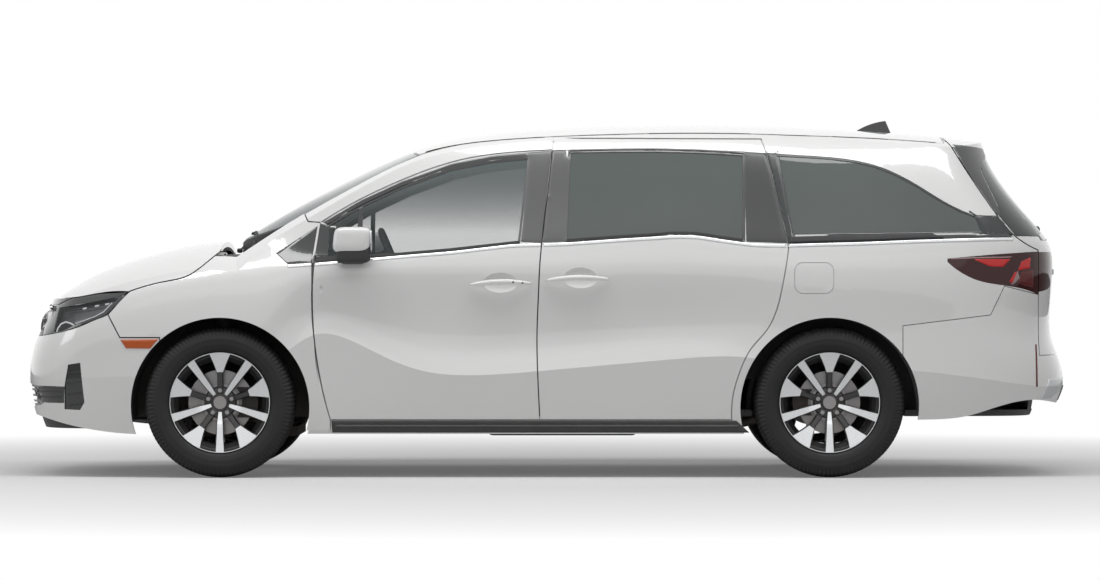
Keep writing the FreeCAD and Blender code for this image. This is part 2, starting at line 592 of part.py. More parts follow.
def skin_at(x, z):
    """The outer skin's place at a station and height of the left side."""
    reach = Part.makeLine(Vector(along(x), -2 * HALF_WIDTH, up(z)), Vector(along(x), 0, up(z))).common(skin(0))
    return Vector(along(x), reach.BoundBox.YMin, up(z))


def scoop(x, z, length, height):
    """A dished hollow in the skin behind a pull handle."""
    bowl = Part.makeSphere(1)
    grow = FreeCAD.Matrix()
    grow.scale(length / 2, size("ScoopDepth"), height / 2)
    bowl = bowl.transformGeometry(grow)
    bowl.translate(skin_at(x, z))
    return bowl


front_door = door(FRONT_DOOR, FRONT_WINDOW).cut(scoop(-226, 957, 165, 110))
sliding_door = door(SLIDING_DOOR, SLIDING_WINDOW).cut(scoop(168, 980, 165, 110))

# Body side: outer panel, pillars and sill, with the openings for the doors and their seals

BEHIND_FLANGE = size("FlangeDepth") + GAP * 2
# the upper front corner of the front door dips behind its opening as it swings
corner_room = layer(0, BEHIND_FLANGE + 2 * size("SwingRoom"), prism(FRONT_DOOR, -GAP).common(block(-1170, -1065, -1000, 0, 1040, 1290)))
side = layer(0, WALL, prism(BODY_SIDE, GAP)).common(top("canopy", 0))
pillar = layer(PANEL + FIT, WALL, prism(corners([(-1270, 215), (-1000, 215), (-1000, 1230), (-1200, 1262), (-1270, 1200)])))
pillar = below(pillar, "crown", PANEL + FIT).cut(arch(0, size("ArchRadius") + size("LinerThick") + FIT))
side = side.fuse(pillar)
away, seals = [], []
for outline in (FRONT_DOOR, SLIDING_DOOR):
    away.append(prism(outline, -GAP).cut(skin(BEHIND_FLANGE)))
    away.append(prism(outline, size("ApertureInset")))
    ring = prism(outline, size("ApertureInset") - 12).cut(prism(outline, size("ApertureInset")))
    seals.append(layer(size("FlangeDepth") + 2 * FIT, BEHIND_FLANGE - FIT, ring).cut([SWING_ROOM, corner_room]))
side = side.cut(away + [arch(1, size("ArchRadius")), SWING_ROOM, corner_room])
side = side.cut(prism(TAIL_LAMP, -FIT - 0.3).cut(skin(size("LampDepth") + FIT)))
roof_room = prism(ROOF_PANEL, -GAP, "plan", 1000)
side = side.cut([roof_room.cut(top("canopy", size("RoofDepth") + FIT)), prism(ROOF_PANEL, 40, "plan", 1000)])
glass_room = prism(WINDSHIELD, -GAP, "plan", 1000)
side = side.cut([glass_room.cut(top("canopy", GLASS_BACK + size("GlassFit"))), prism(WINDSHIELD, 30, "plan", 1000)])
side = side.cut(block(1900, 2100, -560, 10, 1500, 1800))
side = glazed(side, QUARTER_WINDOW)

# Door hinges: a knuckle with its pin on the pillar, between two knuckles on the door

hinge_door, hinge_pillar, hinge_room = [], [], []
pin, knuckle = size("HingePin"), size("KnuckleRadius")
for z in HINGE_HEIGHTS:
    base = HINGE + Vector(0, 0, up(z))
    for low in (-32, 12):
        hinge_door.append(Part.makeCylinder(knuckle, 20, base + Vector(0, 0, low)).cut(Part.makeCylinder(pin + FIT, 20, base + Vector(0, 0, low))))
    hinge_room.append(Part.makeCylinder(pin + FIT, 64, base + Vector(0, 0, -32)))
    hinge_room.append(Part.makeCylinder(knuckle + 3, 24, base + Vector(0, 0, -12)))
    hinge_room.append(Part.makeBox(along(-1080) - along(-1160), 120, 90, base + Vector(along(-1160) - HINGE.x, 1, -45)))
    hinge_pillar.append(Part.makeCylinder(knuckle, 23.4, base + Vector(0, 0, -11.7)))
    hinge_pillar.append(Part.makeCylinder(pin, 60, base + Vector(0, 0, -30)))
    hinge_pillar.append(Part.makeBox(10, 75, 23.4, base + Vector(-1, 4, -11.7)))
    hinge_pillar.append(Part.makeBox(45, 22, 60, base + Vector(-40, 60, -30)))
front_door = front_door.cut(hinge_room).fuse(hinge_door)
side = side.fuse(hinge_pillar)

fuel_door = Part.makeBox(195, 400, 155, Vector(along(1218), -HALF_WIDTH - 50, up(905)))
fuel_door = fuel_door.makeFillet(44, [edge for edge in fuel_door.Edges if edge.Length > 390])
fuel_flap = Part.makeBox(195 - 2 * size("FuelDoorGap"), 400, 155 - 2 * size("FuelDoorGap"),
                         Vector(along(1218) + size("FuelDoorGap"), -HALF_WIDTH - 50, up(905) + size("FuelDoorGap")))
fuel_flap = fuel_flap.makeFillet(44 - size("FuelDoorGap"), [edge for edge in fuel_flap.Edges if edge.Length > 390])
shut_line = fuel_door.cut(fuel_flap).cut(skin(7))
piece("body_side_left", side.cut(shut_line))
piece("body_side_right", mirrored(side))
piece("front_door_left", front_door)
piece("front_door_right", mirrored(front_door))
piece("sliding_door_left", sliding_door)
piece("sliding_door_right", mirrored(sliding_door))
piece("door_seals", Part.makeCompound([both(ring) for ring in seals]))
front_glass, sliding_glass = pane(FRONT_WINDOW), pane(SLIDING_WINDOW)
piece("front_door_glass_left", front_glass)
piece("front_door_glass_right", mirrored(front_glass))
piece("sliding_door_glass", both(sliding_glass))
piece("quarter_glass", both(pane(QUARTER_WINDOW)))

# Nose: fenders, bumper, lamps and grille on the carrier behind them

LAMP_BACK = size("LampDepth") + FIT
lamp_block = prism(LAMP, 0).common(prism(LAMP_SIDE, 0, "end"))
lamp_room = prism(LAMP, -size("LampFit")).common(prism(LAMP_SIDE, -size("LampFit"), "end"))
headlamp = layer(0, size("LampDepth"), lamp_block).cut(prism(HOOD_REGION))
lamp_pocket = lamp_room.cut(skin(LAMP_BACK))
fender = layer(0, PANEL, prism(FENDER, GAP), upper="crown")
fender = fender.cut([arch(0, size("ArchRadius")), lamp_room, EDGE_ROOM, block(-2300, -1610, -740, 10, 600, 1300)])
fender = fender.cut([prism(COWL_TRAY, -GAP, "plan", 900), prism(WINDSHIELD, -GAP, "plan", 900)])
NOSE_END = along(-2150)
grille_room = prism(GRILLE, 0, "end", -3200, NOSE_END)
intake_room = prism(INTAKE, 0, "end", -3200, NOSE_END)
bumper = layer(0, PANEL, prism(FRONT_BUMPER, GAP))
bumper = bumper.cut([arch(0, size("ArchRadius")), lamp_room, grille_room, intake_room, prism(SIDE_VENT)])
carrier = layer(PANEL + FIT, size("CarrierDepth"), prism(corners([(-2700, 240), (-1275, 240), (-1275, 1330), (-2700, 1330)])), upper="crown")
carrier = carrier.cut([prism(HOOD_REGION, 34), arch(0, size("ArchRadius") + 15), lamp_pocket,
                       prism(GRILLE, -2, "end", -3200, NOSE_END), prism(INTAKE, -2, "end", -3200, NOSE_END), prism(SIDE_VENT, -2),
                       prism(COWL_TRAY, -GAP, "plan", 900), prism(WINDSHIELD, -GAP, "plan", 900)])
# a shelf of the carrier stands behind each lamp
shelf = layer(LAMP_BACK, LAMP_BACK + 12, lamp_room).cut(prism(HOOD_REGION, -6))
carrier = carrier.fuse(shelf).cut(block(-1675, -1585, -652, -574, 1050, 1135))


def barred(shape, low, high, count, bar):
    """The shape with level slots between bars of that height."""
    pitch = (high - low) / count
    return shape.cut([block(-3000, -2200, -2000, 10, low + i * pitch + bar / 2, low + (i + 1) * pitch - bar / 2) for i in range(count)])


def framed(outline, rim, low, high, count, bar):
    """A grille of level bars in a rim that follows its outline."""
    plate = layer(6, size("CarrierDepth"), prism(outline, 0.6, "end", -3200, NOSE_END))
    core = prism(outline, rim, "end", -3200, NOSE_END)
    return plate.cut(core).fuse(barred(plate.common(core), low, high, count, bar))


upper_grille = framed(GRILLE, 16, 668, 832, 5, 12)
lower_grille = framed(INTAKE, 14, 344, 456, 4, 10)
vent = layer(6, PANEL, prism(SIDE_VENT, 0.6))
piece("front_fenders", both(fender))
piece("front_bumper", whole(bumper))
piece("front_carrier", whole(carrier))
piece("headlamps", both(headlamp))
piece("grille", Part.makeCompound(whole(upper_grille).Solids + whole(lower_grille).Solids + both(vent).Solids))

# Tail: bumper, tailgate with its glass and lamps

rear_bumper = layer(0, PANEL, prism(REAR_BUMPER, 0.4)).cut([arch(1, size("ArchRadius")), prism(TAIL_LAMP, -0.6)])
GATE_DEPTH = PANEL + 20
tailgate = layer(0, GATE_DEPTH, prism(TAILGATE, GAP), upper="canopy")
glass_seat = prism(TAIL_WINDOW, -size("GlassLap") - size("GlassFit"), "end", 1800).cut(skin(GLASS_BACK + size("GlassFit")))
tailgate = tailgate.cut([prism(TAIL_WINDOW, 0, "end", 1800), glass_seat])
TAIL_LAMP_END = [[(520, 1112), (1000, 1112)], [(1000, 1112), (1000, 905)], [(1000, 905), (700, 925), (520, 960)], [(520, 960), (520, 1112)]]
gate_lamp = layer(0, 24, prism(TAIL_LAMP_END, 0, "end", 2000, 3200).common(prism(TAILGATE, GAP)))
tailgate = tailgate.cut(prism(TAIL_LAMP_END, -0.6, "end", 2000, 3200).cut(skin(24 + FIT)))
tail_lamp = layer(0, size("LampDepth"), prism(TAIL_LAMP))
tail_glass = layer(size("GlassSink"), GLASS_BACK, prism(TAIL_WINDOW, -size("GlassLap"), "end", 1800))
piece("rear_bumper", whole(rear_bumper))
GATE_AXIS = Vector(along(1996) - size("HatchPivot"), 0, up(1702) - 58)
goosenecks = []
for y in (-447, -407):
    neck = prism(corners([(0, -9), (9, 0), (9, -62), (72, -62), (72, 20), (110, 20), (110, -84), (-9, -84), (-9, -9)]), 0, "side", 0, 14)
    neck.translate(Vector(GATE_AXIS.x - along(0), y + 14, GATE_AXIS.z))
    goosenecks.append(neck.fuse(Part.makeCylinder(10, 14, GATE_AXIS + Vector(0, y, 0), Vector(0, 1, 0))))
tailgate = tailgate.cut(block(1950, 2016, -1000, 10, 1400, 1900).common(top("canopy", size("GateLip"))))
tailgate = tailgate.fuse(goosenecks).cut(Part.makeCylinder(5 + FIT, 60, GATE_AXIS + Vector(0, -450, 0), Vector(0, 1, 0)))
piece("tailgate", whole(tailgate))
piece("tailgate_glass", whole(tail_glass))
piece("tailgate_lamps", both(gate_lamp))
piece("tail_lamps", both(tail_lamp))

# Hood, cowl, windshield and roof

hood = layer(0, PANEL, prism(HOOD_REGION, GAP), upper="hood")
cowl = below(prism(COWL_TRAY, GAP, "plan", 900).common(skin(PANEL + FIT)), "crown", size("CowlSink"))
cowl = above(cowl, "crown", size("CowlSink") + 18)
cowl_rail = layer(GLASS_BACK + size("GlassFit"), size("CowlSink") + 18, prism(COWL_RAIL, 0, "plan", 900), upper="canopy", side=False)
windshield = layer(size("GlassSink"), GLASS_BACK, prism(WINDSHIELD, GAP, "plan", 900), upper="canopy", side=False)
roof = layer(0, size("RoofDepth"), prism(ROOF_PANEL, GAP, "plan", 900), upper="canopy", side=False)
header = layer(GLASS_BACK + size("GlassFit"), size("FrameDepth"), block(-745, -600, -570, 0, 1400, 1800), upper="canopy", side=False)
header = header.cut(prism(ROOF_PANEL, -GAP - 1, "plan", 900).cut(top("canopy", size("RoofDepth") - 1)))
GATE_AXIS = Vector(along(1996) - size("HatchPivot"), 0, up(1702) - 58)
roof_lug = Part.makeCylinder(10, 25.4, GATE_AXIS + Vector(0, -432.7, 0), Vector(0, 1, 0)).fuse([
    Part.makeCylinder(5, 54, GATE_AXIS + Vector(0, -447, 0), Vector(0, 1, 0)), Part.makeBox(80, 25.4, 18, GATE_AXIS + Vector(-80, -432.7, -9))])
bow = layer(size("RoofDepth") - 1, 60, block(1790, 1900, -590, 0, 1500, 1800), upper="canopy", side=False)
HOOD_AXIS = Vector(along(size("HoodHingeX")), 0, up(size("HoodHingeZ")))
hood_lugs, cowl_lugs = [], []
for y in (-640, -600):
    hood_lugs.append(Part.makeBox(62, 14, 16, HOOD_AXIS + Vector(-60, y, -4)).fuse(Part.makeCylinder(10, 14, HOOD_AXIS + Vector(0, y, 0), Vector(0, 1, 0))))
cowl_lugs.append(Part.makeCylinder(10, 25.4, HOOD_AXIS + Vector(0, -625.7, 0), Vector(0, 1, 0)))
cowl_lugs.append(Part.makeCylinder(5, 54, HOOD_AXIS + Vector(0, -640, 0), Vector(0, 1, 0)))
cowl_lugs.append(Part.makeBox(20, 25.4, 70, HOOD_AXIS + Vector(-10, -625.7, -70)))
hood = hood.fuse(hood_lugs).cut(Part.makeCylinder(5 + FIT, 60, HOOD_AXIS + Vector(0, -642, 0), Vector(0, 1, 0)))
piece("hood", whole(hood))
piece("cowl", whole(cowl.fuse([cowl_rail] + cowl_lugs)))
piece("windshield", whole(windshield))
piece("roof", whole(roof.fuse([header, bow, roof_lug])))


# Bodies with sketches: each corner of a sketch is held by distances from the origin that read the sheet

def new_body(label):
    body = doc.addObject("PartDesign::Body", label)
    body.Label = label
    PIECES[label] = body
    return body


def origin_plane(body, role):
    return [f for f in body.Origin.OriginFeatures if f.Role == role][0]


def sketch(body, role, lift=None):
    """An empty sketch on one of the body's own planes, lifted off it by an expression."""
    drawing = body.newObject("Sketcher::SketchObject", body.Name + "Sketch")
    drawing.AttachmentSupport = (origin_plane(body, role), [""])
    drawing.MapMode = "FlatFace"
    if lift:
        drawing.setExpression("AttachmentOffset.Base.z", lift)
    return drawing


def hold(drawing, geometry, end, x, y):
    """Tie a point of the sketch to expressions for its two coordinates."""
    for kind, axis, expression in (("DistanceX", -2, x), ("DistanceY", -1, y)):
        value = number(drawing, expression)
        if abs(value) < 1e-6:
            drawing.addConstraint(Sketcher.Constraint("PointOnObject", geometry, end, axis))
        else:
            index = drawing.addConstraint(Sketcher.Constraint(kind, -1, 1, geometry, end, value))
            drawing.setExpression("Constraints[%d]" % index, expression)


def number(drawing, expression):
    return float(getattr(drawing.evalExpression(expression), "Value", drawing.evalExpression(expression)))


def outline(drawing, corner_list, arcs=None):
    """A closed outline through corners given as expressions. arcs names the middle of each side that is an arc."""
    arcs = arcs or {}
    points = [Vector(number(drawing, x), number(drawing, y), 0) for x, y in corner_list]
    first = drawing.GeometryCount
    starts = []
    for i, a in enumerate(points):
        b = points[(i + 1) % len(points)]
        if i in arcs:
            middle = Vector(number(drawing, arcs[i][0]), number(drawing, arcs[i][1]), 0)
            flipped = (middle - a).cross(b - middle).z < 0
            drawing.addGeometry(Part.Arc(b, middle, a) if flipped else Part.Arc(a, middle, b), False)
        else:
            drawing.addGeometry(Part.LineSegment(a, b), False)
            flipped = False
        starts.append((2, 1) if flipped else (1, 2))
    for i in range(len(points)):
        after = (i + 1) % len(points)
        drawing.addConstraint(Sketcher.Constraint("Coincident", first + i, starts[i][1], first + after, starts[after][0]))
    for i, (x, y) in enumerate(corner_list):
        hold(drawing, first + i, starts[i][0], x, y)


def turned(label, corner_list, arcs=None):
    """A body turned about its Y axis from an outline of (radius, distance along the axis)."""
    body = new_body(label)
    drawing = sketch(body, "XY_Plane")
    outline(drawing, corner_list, arcs)
    turn = body.newObject("PartDesign::Revolution", label + "Turn")
    turn.Profile = drawing
    turn.ReferenceAxis = (drawing, ["V_Axis"])
    turn.Angle = 360
    body.Tip = turn
    return body


def place(obj, x, y, z):
    """Put an object where three expressions say."""
    for axis, expression in zip("xyz", (x, y, z)):
        obj.setExpression("Placement.Base." + axis, expression)


def mirror_of(obj, label):
    """The same piece on the other side of the car."""
    twin = doc.addObject("Part::Mirroring", label)
    twin.Label = label
    twin.Source = obj
    twin.Normal = (0, 1, 0)
    PIECES[label] = twin
    return twin


# Tyres and wheels, outboard towards -Y on the left

W = "<<Sizes>>."


def tyre(label, axle):
    half = "-" + W + "TyreWidth / 2"
    body = turned(label, [
        (W + "RimRadius + Sizes.Fit", W + "RimWidth / 2 - 13"), (W + "RimRadius + Sizes.RimFlange + 1", W + "RimWidth / 2 - 9"),
        (W + "TyreRadius - 20", W + "TyreWidth / 2 - 10"), (W + "TyreRadius - 5", W + "TyreWidth / 2 - 34"),
        (W + "TyreRadius - 5", "-(Sizes.TyreWidth / 2 - 34)"), (W + "TyreRadius - 20", "-(Sizes.TyreWidth / 2 - 10)"),
        (W + "RimRadius + Sizes.RimFlange + 1", "-(Sizes.RimWidth / 2 - 9)"), (W + "RimRadius + Sizes.Fit", "-(Sizes.RimWidth / 2 - 13)"),
        (W + "RimRadius + Sizes.Fit", "-(Sizes.RimWidth / 2 - 36)"), (W + "TyreRadius - 30", "-(Sizes.TyreWidth / 2 - 26)"),
        (W + "TyreRadius - 30", W + "TyreWidth / 2 - 26"), (W + "RimRadius + Sizes.Fit", W + "RimWidth / 2 - 36")],
        {1: (W + "RimRadius + 62", W + "TyreWidth / 2"), 2: (W + "TyreRadius - 9", W + "TyreWidth / 2 - 20"),
         3: (W + "TyreRadius", "0"), 4: (W + "TyreRadius - 9", "-(Sizes.TyreWidth / 2 - 20)"),
         5: (W + "RimRadius + 62", "-(Sizes.TyreWidth / 2)")})
    place(body, axle, "-Sizes.TrackWidth / 2", W + "TyreRadius")
    return body


def polar(radius, angle):
    """Expressions of a point at that radius and angle in the wheel's face."""
    return ("%.3f" % (radius * math.cos(math.radians(angle))), "%.3f" % (radius * math.sin(math.radians(angle))))


def rim(label, axle):
    flange = W + "RimRadius + Sizes.RimFlange"
    half = W + "RimWidth / 2"
    web = "-(Sizes.HubOffset + 18)"
    body = turned(label, [
        (flange, "-(Sizes.RimWidth / 2)"), (flange, "-(Sizes.RimWidth / 2 - 8)"), (W + "RimRadius", "-(Sizes.RimWidth / 2 - 12)"),
        (W + "RimRadius", "-(Sizes.RimWidth / 2 - 38)"), (W + "RimRadius - 20", "-(Sizes.RimWidth / 2 - 52)"),
        (W + "RimRadius - 20", "Sizes.RimWidth / 2 - 52"), (W + "RimRadius", "Sizes.RimWidth / 2 - 38"),
        (W + "RimRadius", "Sizes.RimWidth / 2 - 12"), (flange, "Sizes.RimWidth / 2 - 8"), (flange, "Sizes.RimWidth / 2"),
        (flange + " - 8", "Sizes.RimWidth / 2"), (W + "RimRadius - 8", "Sizes.RimWidth / 2 - 14"), (W + "RimRadius - 8", "Sizes.RimWidth / 2 - 36"),
        (W + "RimRadius - 28", "Sizes.RimWidth / 2 - 50"),
        (W + "RimRadius - 28", "-(Sizes.RimWidth / 2 - 36)"), (W + "StudCircle + 30", "-Sizes.HubOffset - 22"), (W + "StudCircle + 18", "-Sizes.HubOffset"),
        (W + "HubBore", "-Sizes.HubOffset"), (W + "HubBore", "-Sizes.HubOffset - 26"), (W + "StudCircle + 18", "-Sizes.HubOffset - 26"),
        (W + "StudCircle + 34", "-Sizes.HubOffset - 46"), (W + "RimRadius - 26", "-(Sizes.RimWidth / 2 - 4)")])
    # ten pockets: each lies between a narrow spoke and a wide one
    for name, sign in (("Ahead", 1), ("Behind", -1)):
        cut_sketch = sketch(body, "XZ_Plane")
        base = 90
        ring = [polar(92, base + sign * 14), polar(150, base + sign * 11), polar(197, base + sign * 10.5), polar(197, base + sign * 31),
                polar(150, base + sign * 30), polar(92, base + sign * 26)]
        outline(cut_sketch, ring if sign < 0 else ring[::-1])
        cut = body.newObject("PartDesign::Pocket", label + "Pocket" + name)
        cut.Profile = cut_sketch
        cut.Type = "ThroughAll"
        cut.Midplane = True
        pattern = body.newObject("PartDesign::PolarPattern", label + "Pockets" + name)
        pattern.Originals = [cut]
        pattern.Axis = (cut_sketch, ["N_Axis"])
        pattern.Angle = 360
        pattern.Occurrences = 5
        body.Tip = pattern
    holes = sketch(body, "XZ_Plane")
    holes.addGeometry(Part.Circle(Vector(0, 60, 0), Vector(0, 0, 1), 7), False)
    hold(holes, 0, 3, "0", W + "StudCircle")
    holes.addConstraint(Sketcher.Constraint("Radius", 0, 7))
    drill = body.newObject("PartDesign::Pocket", label + "StudHole")
    drill.Profile = holes
    drill.Type = "ThroughAll"
    drill.Midplane = True
    around = body.newObject("PartDesign::PolarPattern", label + "StudHoles")
    around.Originals = [drill]
    around.Axis = (holes, ["N_Axis"])
    around.Angle = 360
    around.Occurrences = 5
    body.Tip = around
    place(body, axle, "-Sizes.TrackWidth / 2", W + "TyreRadius")
    return body


FRONT_X = "Sizes.FrontOverhang - Sizes.OverallLength / 2"
REAR_X = FRONT_X + " + Sizes.Wheelbase"
for end, axle in (("front", FRONT_X), ("rear", REAR_X)):
    left_tyre, left_rim = tyre("tyre_%s_left" % end, axle), rim("rim_%s_left" % end, axle)
    mirror_of(left_tyre, "tyre_%s_right" % end)
    mirror_of(left_rim, "rim_%s_right" % end)


# Hubs with brake discs turn with the wheels, in bearings of the knuckles and of the rear axle

RADIUS = size("TyreRadius")
TRACK = size("TrackWidth") / 2
MOUNT = TRACK + size("HubOffset")
KINGPIN_FOOT = Vector(FRONT_AXLE, -(TRACK - size("KingpinInset") - 12), 225)
KINGPIN_HEAD = Vector(FRONT_AXLE, -640, 850)
KINGPIN = (KINGPIN_HEAD - KINGPIN_FOOT).normalize()
BEARING_OUT, BEARING_IN = MOUNT - 62, MOUNT - 112


def axle_rod(x, y0, y1, radius, z=RADIUS):
    """A round bar across the car at an axle, from half width y0 out to y1 on the left."""
    return Part.makeCylinder(radius, y1 - y0, Vector(x, -y0, z), Vector(0, -1, 0))


def on_kingpin(height):
    """The point of the left steering axis at that height."""
    return KINGPIN_FOOT + KINGPIN * ((height - KINGPIN_FOOT.z) / KINGPIN.z)


def wheel_hub(x, disc):
    """Hub flange, brake disc with its hat, stub axle, stud nuts and centre cap."""
    bore = size("HubBore")
    solid = axle_rod(x, BEARING_IN, MOUNT - 10, 24).fuse([axle_rod(x, MOUNT - 14, MOUNT - FIT, 76), axle_rod(x, MOUNT - 10, MOUNT + 38, bore - FIT)])
    hat = axle_rod(x, MOUNT - 60, MOUNT - 8, 92).cut(axle_rod(x, MOUNT - 54, MOUNT - 14, 84))
    hat = hat.cut(axle_rod(x, MOUNT - 70, MOUNT - 50, 60))
    plate = axle_rod(x, MOUNT - 60, MOUNT - 60 + size("DiscThick"), disc).cut(axle_rod(x, MOUNT - 70, MOUNT, 86))
    nuts = []
    for k in range(5):
        turn = math.radians(90 + 72 * k)
        at = Vector(x + size("StudCircle") * math.cos(turn), 0, RADIUS + size("StudCircle") * math.sin(turn))
        nuts.append(Part.makeCylinder(6, MOUNT + 44 - (MOUNT - 12), at + Vector(0, -(MOUNT - 12), 0), Vector(0, -1, 0)))
        nuts.append(Part.makeCylinder(10, 20, at + Vector(0, -(MOUNT + 26.3), 0), Vector(0, -1, 0)))
    return solid.fuse([hat, plate] + nuts)


for end, x, disc in (("front", FRONT_AXLE, size("DiscRadius")), ("rear", REAR_AXLE, size("DiscRadius") - 5)):
    hub = wheel_hub(x, disc)
    piece("hub_%s_left" % end, hub)
    piece("hub_%s_right" % end, mirrored(hub))

# Knuckle: bearing, brake caliper, the arm up to the strut and the lug over the ball joint
x = FRONT_AXLE
bearing = axle_rod(x, BEARING_IN, BEARING_OUT, 46)
arm = rod((x, -(BEARING_IN + 22), RADIUS + 20), on_kingpin(520) + Vector(0, 0, 0), 20)
clamp = rod(on_kingpin(478), on_kingpin(560), 40)
lug = rod(on_kingpin(218), on_kingpin(252), 26)
leg = rod(on_kingpin(238) + Vector(0, -4, 0), Vector(x, -(BEARING_IN + 22), RADIUS - 20), 19)
caliper = axle_rod(x, MOUNT - 86, MOUNT - 24, 184).cut(axle_rod(x, MOUNT - 90, MOUNT - 20, 104))
caliper = caliper.common(Part.makeBox(200, 200, 150, Vector(x + 80, -MOUNT, RADIUS - 75)))
caliper = caliper.cut(axle_rod(x, MOUNT - 63, MOUNT - 60 + size("DiscThick") + 3, size("DiscRadius") + 4))
bracket = rod((x, -(BEARING_IN + 14), RADIUS), (x + 130, -(BEARING_IN + 14), RADIUS), 14)
knuckle_solid = bearing.fuse([arm, clamp, lug, leg, caliper, bracket])
knuckle_solid = knuckle_solid.cut([axle_rod(x, BEARING_IN - 20, BEARING_OUT + 10, 24 + FIT), rod(on_kingpin(468), on_kingpin(562), 27 + FIT),
                                   rod(on_kingpin(200), on_kingpin(243), 12 + FIT)])
piece("knuckle_left", knuckle_solid)
piece("knuckle_right", mirrored(knuckle_solid))

# Front suspension fixed to the body: strut, lower arm with its ball pin, subframe
strut = rod(on_kingpin(482), on_kingpin(640), 27).fuse(rod(on_kingpin(600), on_kingpin(774), 45))
ball = rod(on_kingpin(196), on_kingpin(240), 12)
lower_arm = Part.makeBox(60, 340, 14, Vector(x - 30, -(TRACK - size("KingpinInset") + 10), 194)).fuse(ball)
lower_arm = lower_arm.fuse(Part.makeBox(320, 110, 14, Vector(x - 30, -520, 194)))
subframe = block(-1850, -1250, -430, 0, 190, 240).cut(block(-1800, -1330, -340, 10, 180, 250))
subframe = subframe.fuse(block(-2420, -1300, -499.7, -440, 300, 400))
subframe = subframe.fuse(block(-1840, -1780, -470, -400, 230, 320)).fuse(block(-1400, -1340, -470, -400, 230, 320))
suspension = whole(lower_arm.fuse(subframe))
piece("front_subframe", suspension)
piece("front_struts", both(strut))

# Rear axle: bearings on a twist beam with trailing arms, springs above
x = REAR_AXLE
rear_bearing = axle_rod(x, BEARING_IN, BEARING_OUT, 46)
beam = axle_rod(x, 0, BEARING_IN + 6, 40, RADIUS)
pivot = Part.makeCylinder(32, 60, Vector(x - 480, -590, 260), Vector(0, 1, 0)).fuse(Part.makeBox(44, 50, 300 - 260 - FIT, Vector(x - 502, -585, 260)))
trailing_arm = rod((x - 480, -560, 244), (x, -630, RADIUS - 4), 22)
rear_caliper = axle_rod(x, MOUNT - 86, MOUNT - 24, 180).cut(axle_rod(x, MOUNT - 90, MOUNT - 20, 104))
rear_caliper = rear_caliper.common(Part.makeBox(200, 200, 130, Vector(x - 280, -MOUNT, RADIUS - 65)))
rear_caliper = rear_caliper.cut(axle_rod(x, MOUNT - 63, MOUNT - 60 + size("DiscThick") + 3, size("DiscRadius")))
rear_bracket = rod((x, -(BEARING_IN + 14), RADIUS), (x - 130, -(BEARING_IN + 14), RADIUS), 14)
spring = rod((x, -560, RADIUS + 20), (x, -560, 722), 55)
rear_half = beam.fuse([pivot, trailing_arm, rear_bearing, rear_caliper, rear_bracket, spring]).cut(axle_rod(x, BEARING_IN - 20, BEARING_OUT + 10, 24 + FIT))
piece("rear_axle", whole(rear_half))

# Floor, firewall and wheelhouses, inside the body's walls
FLOOR = size("FloorHeight")
DROP = size("FloorThick")
# the muffler's room under the load floor: front, rear, half width and how far it rises
MUFFLER = (1900, 2160, 400, 130)
hull = skin(WALL + FIT)


def within(shape, upper=None, depth=0):
    """The part of a shape inside the body's walls, and below an upper surface."""
    shape = shape.common(hull)
    return below(shape, upper, depth) if upper else shape


floor = block(-1250, 2430, -1000, 0, 330 - 30, 330)
firewall = block(-1290, -1250, -1000, 0, 300, 1300)
inner_wall = block(-2080, -1290, -512, -500, 300, 980)
tower = Part.makeCylinder(75, 60, Vector(FRONT_AXLE, -on_kingpin(800).y * -1, 800))
rear_box = block(1394 - 470, 1394 + 470, -1000, -690, 310, 830).cut(axle_rod(REAR_AXLE, 700, 1000, size("ArchRadius"), RADIUS - size("ArchDrop")))
rear_box = rear_box.cut(block(1394 - 560, 1394 + 200, -710, -680, 290, 480))
front_arch = axle_rod(FRONT_AXLE, 512.7, 1100, size("ArchRadius") + size("LinerThick") + FIT, RADIUS - size("ArchDrop"))
floor = floor.cut(axle_rod(REAR_AXLE, -10, 1000, 380, RADIUS - size("ArchDrop")))
hump = Part.makeCylinder(400, out(1000), Vector(REAR_AXLE, 0, RADIUS - size("ArchDrop")), Vector(0, -1, 0))
hump = hump.cut(Part.makeCylinder(380, out(1000), Vector(REAR_AXLE, 0, RADIUS - size("ArchDrop")), Vector(0, -1, 0)))
hump = hump.common(block(800, 2000, -690, 0, 300, 900))
tail_wall = block(2395, 2420, -1000, 0, 300, 592)
recess = block(MUFFLER[0], MUFFLER[1], -MUFFLER[2], 0, 290, 300 + MUFFLER[3])
recess_wall = block(MUFFLER[0] - DROP, MUFFLER[1] + DROP, -MUFFLER[2] - DROP, 0, 300, 300 + MUFFLER[3] + DROP)
floor_half = within(floor.fuse([rear_box, tail_wall, hump, recess_wall]).cut([front_arch, recess]))
floor_half = floor_half.fuse([within(firewall.cut(front_arch), "crown", size("CowlSink") + 30), inner_wall])
piece("floor_pan", whole(floor_half))
liner = axle_rod(FRONT_AXLE, 513, 960, size("ArchRadius") + size("LinerThick"), RADIUS - size("ArchDrop"))
liner = liner.cut(axle_rod(FRONT_AXLE, 519, 1000, size("ArchRadius") + 2, RADIUS - size("ArchDrop")))
liner = liner.cut(block(-2200, -1000, -1200, 0, 0, 290)).common(skin(size("CarrierDepth") + FIT))
piece("wheelhouse_liners", both(liner))

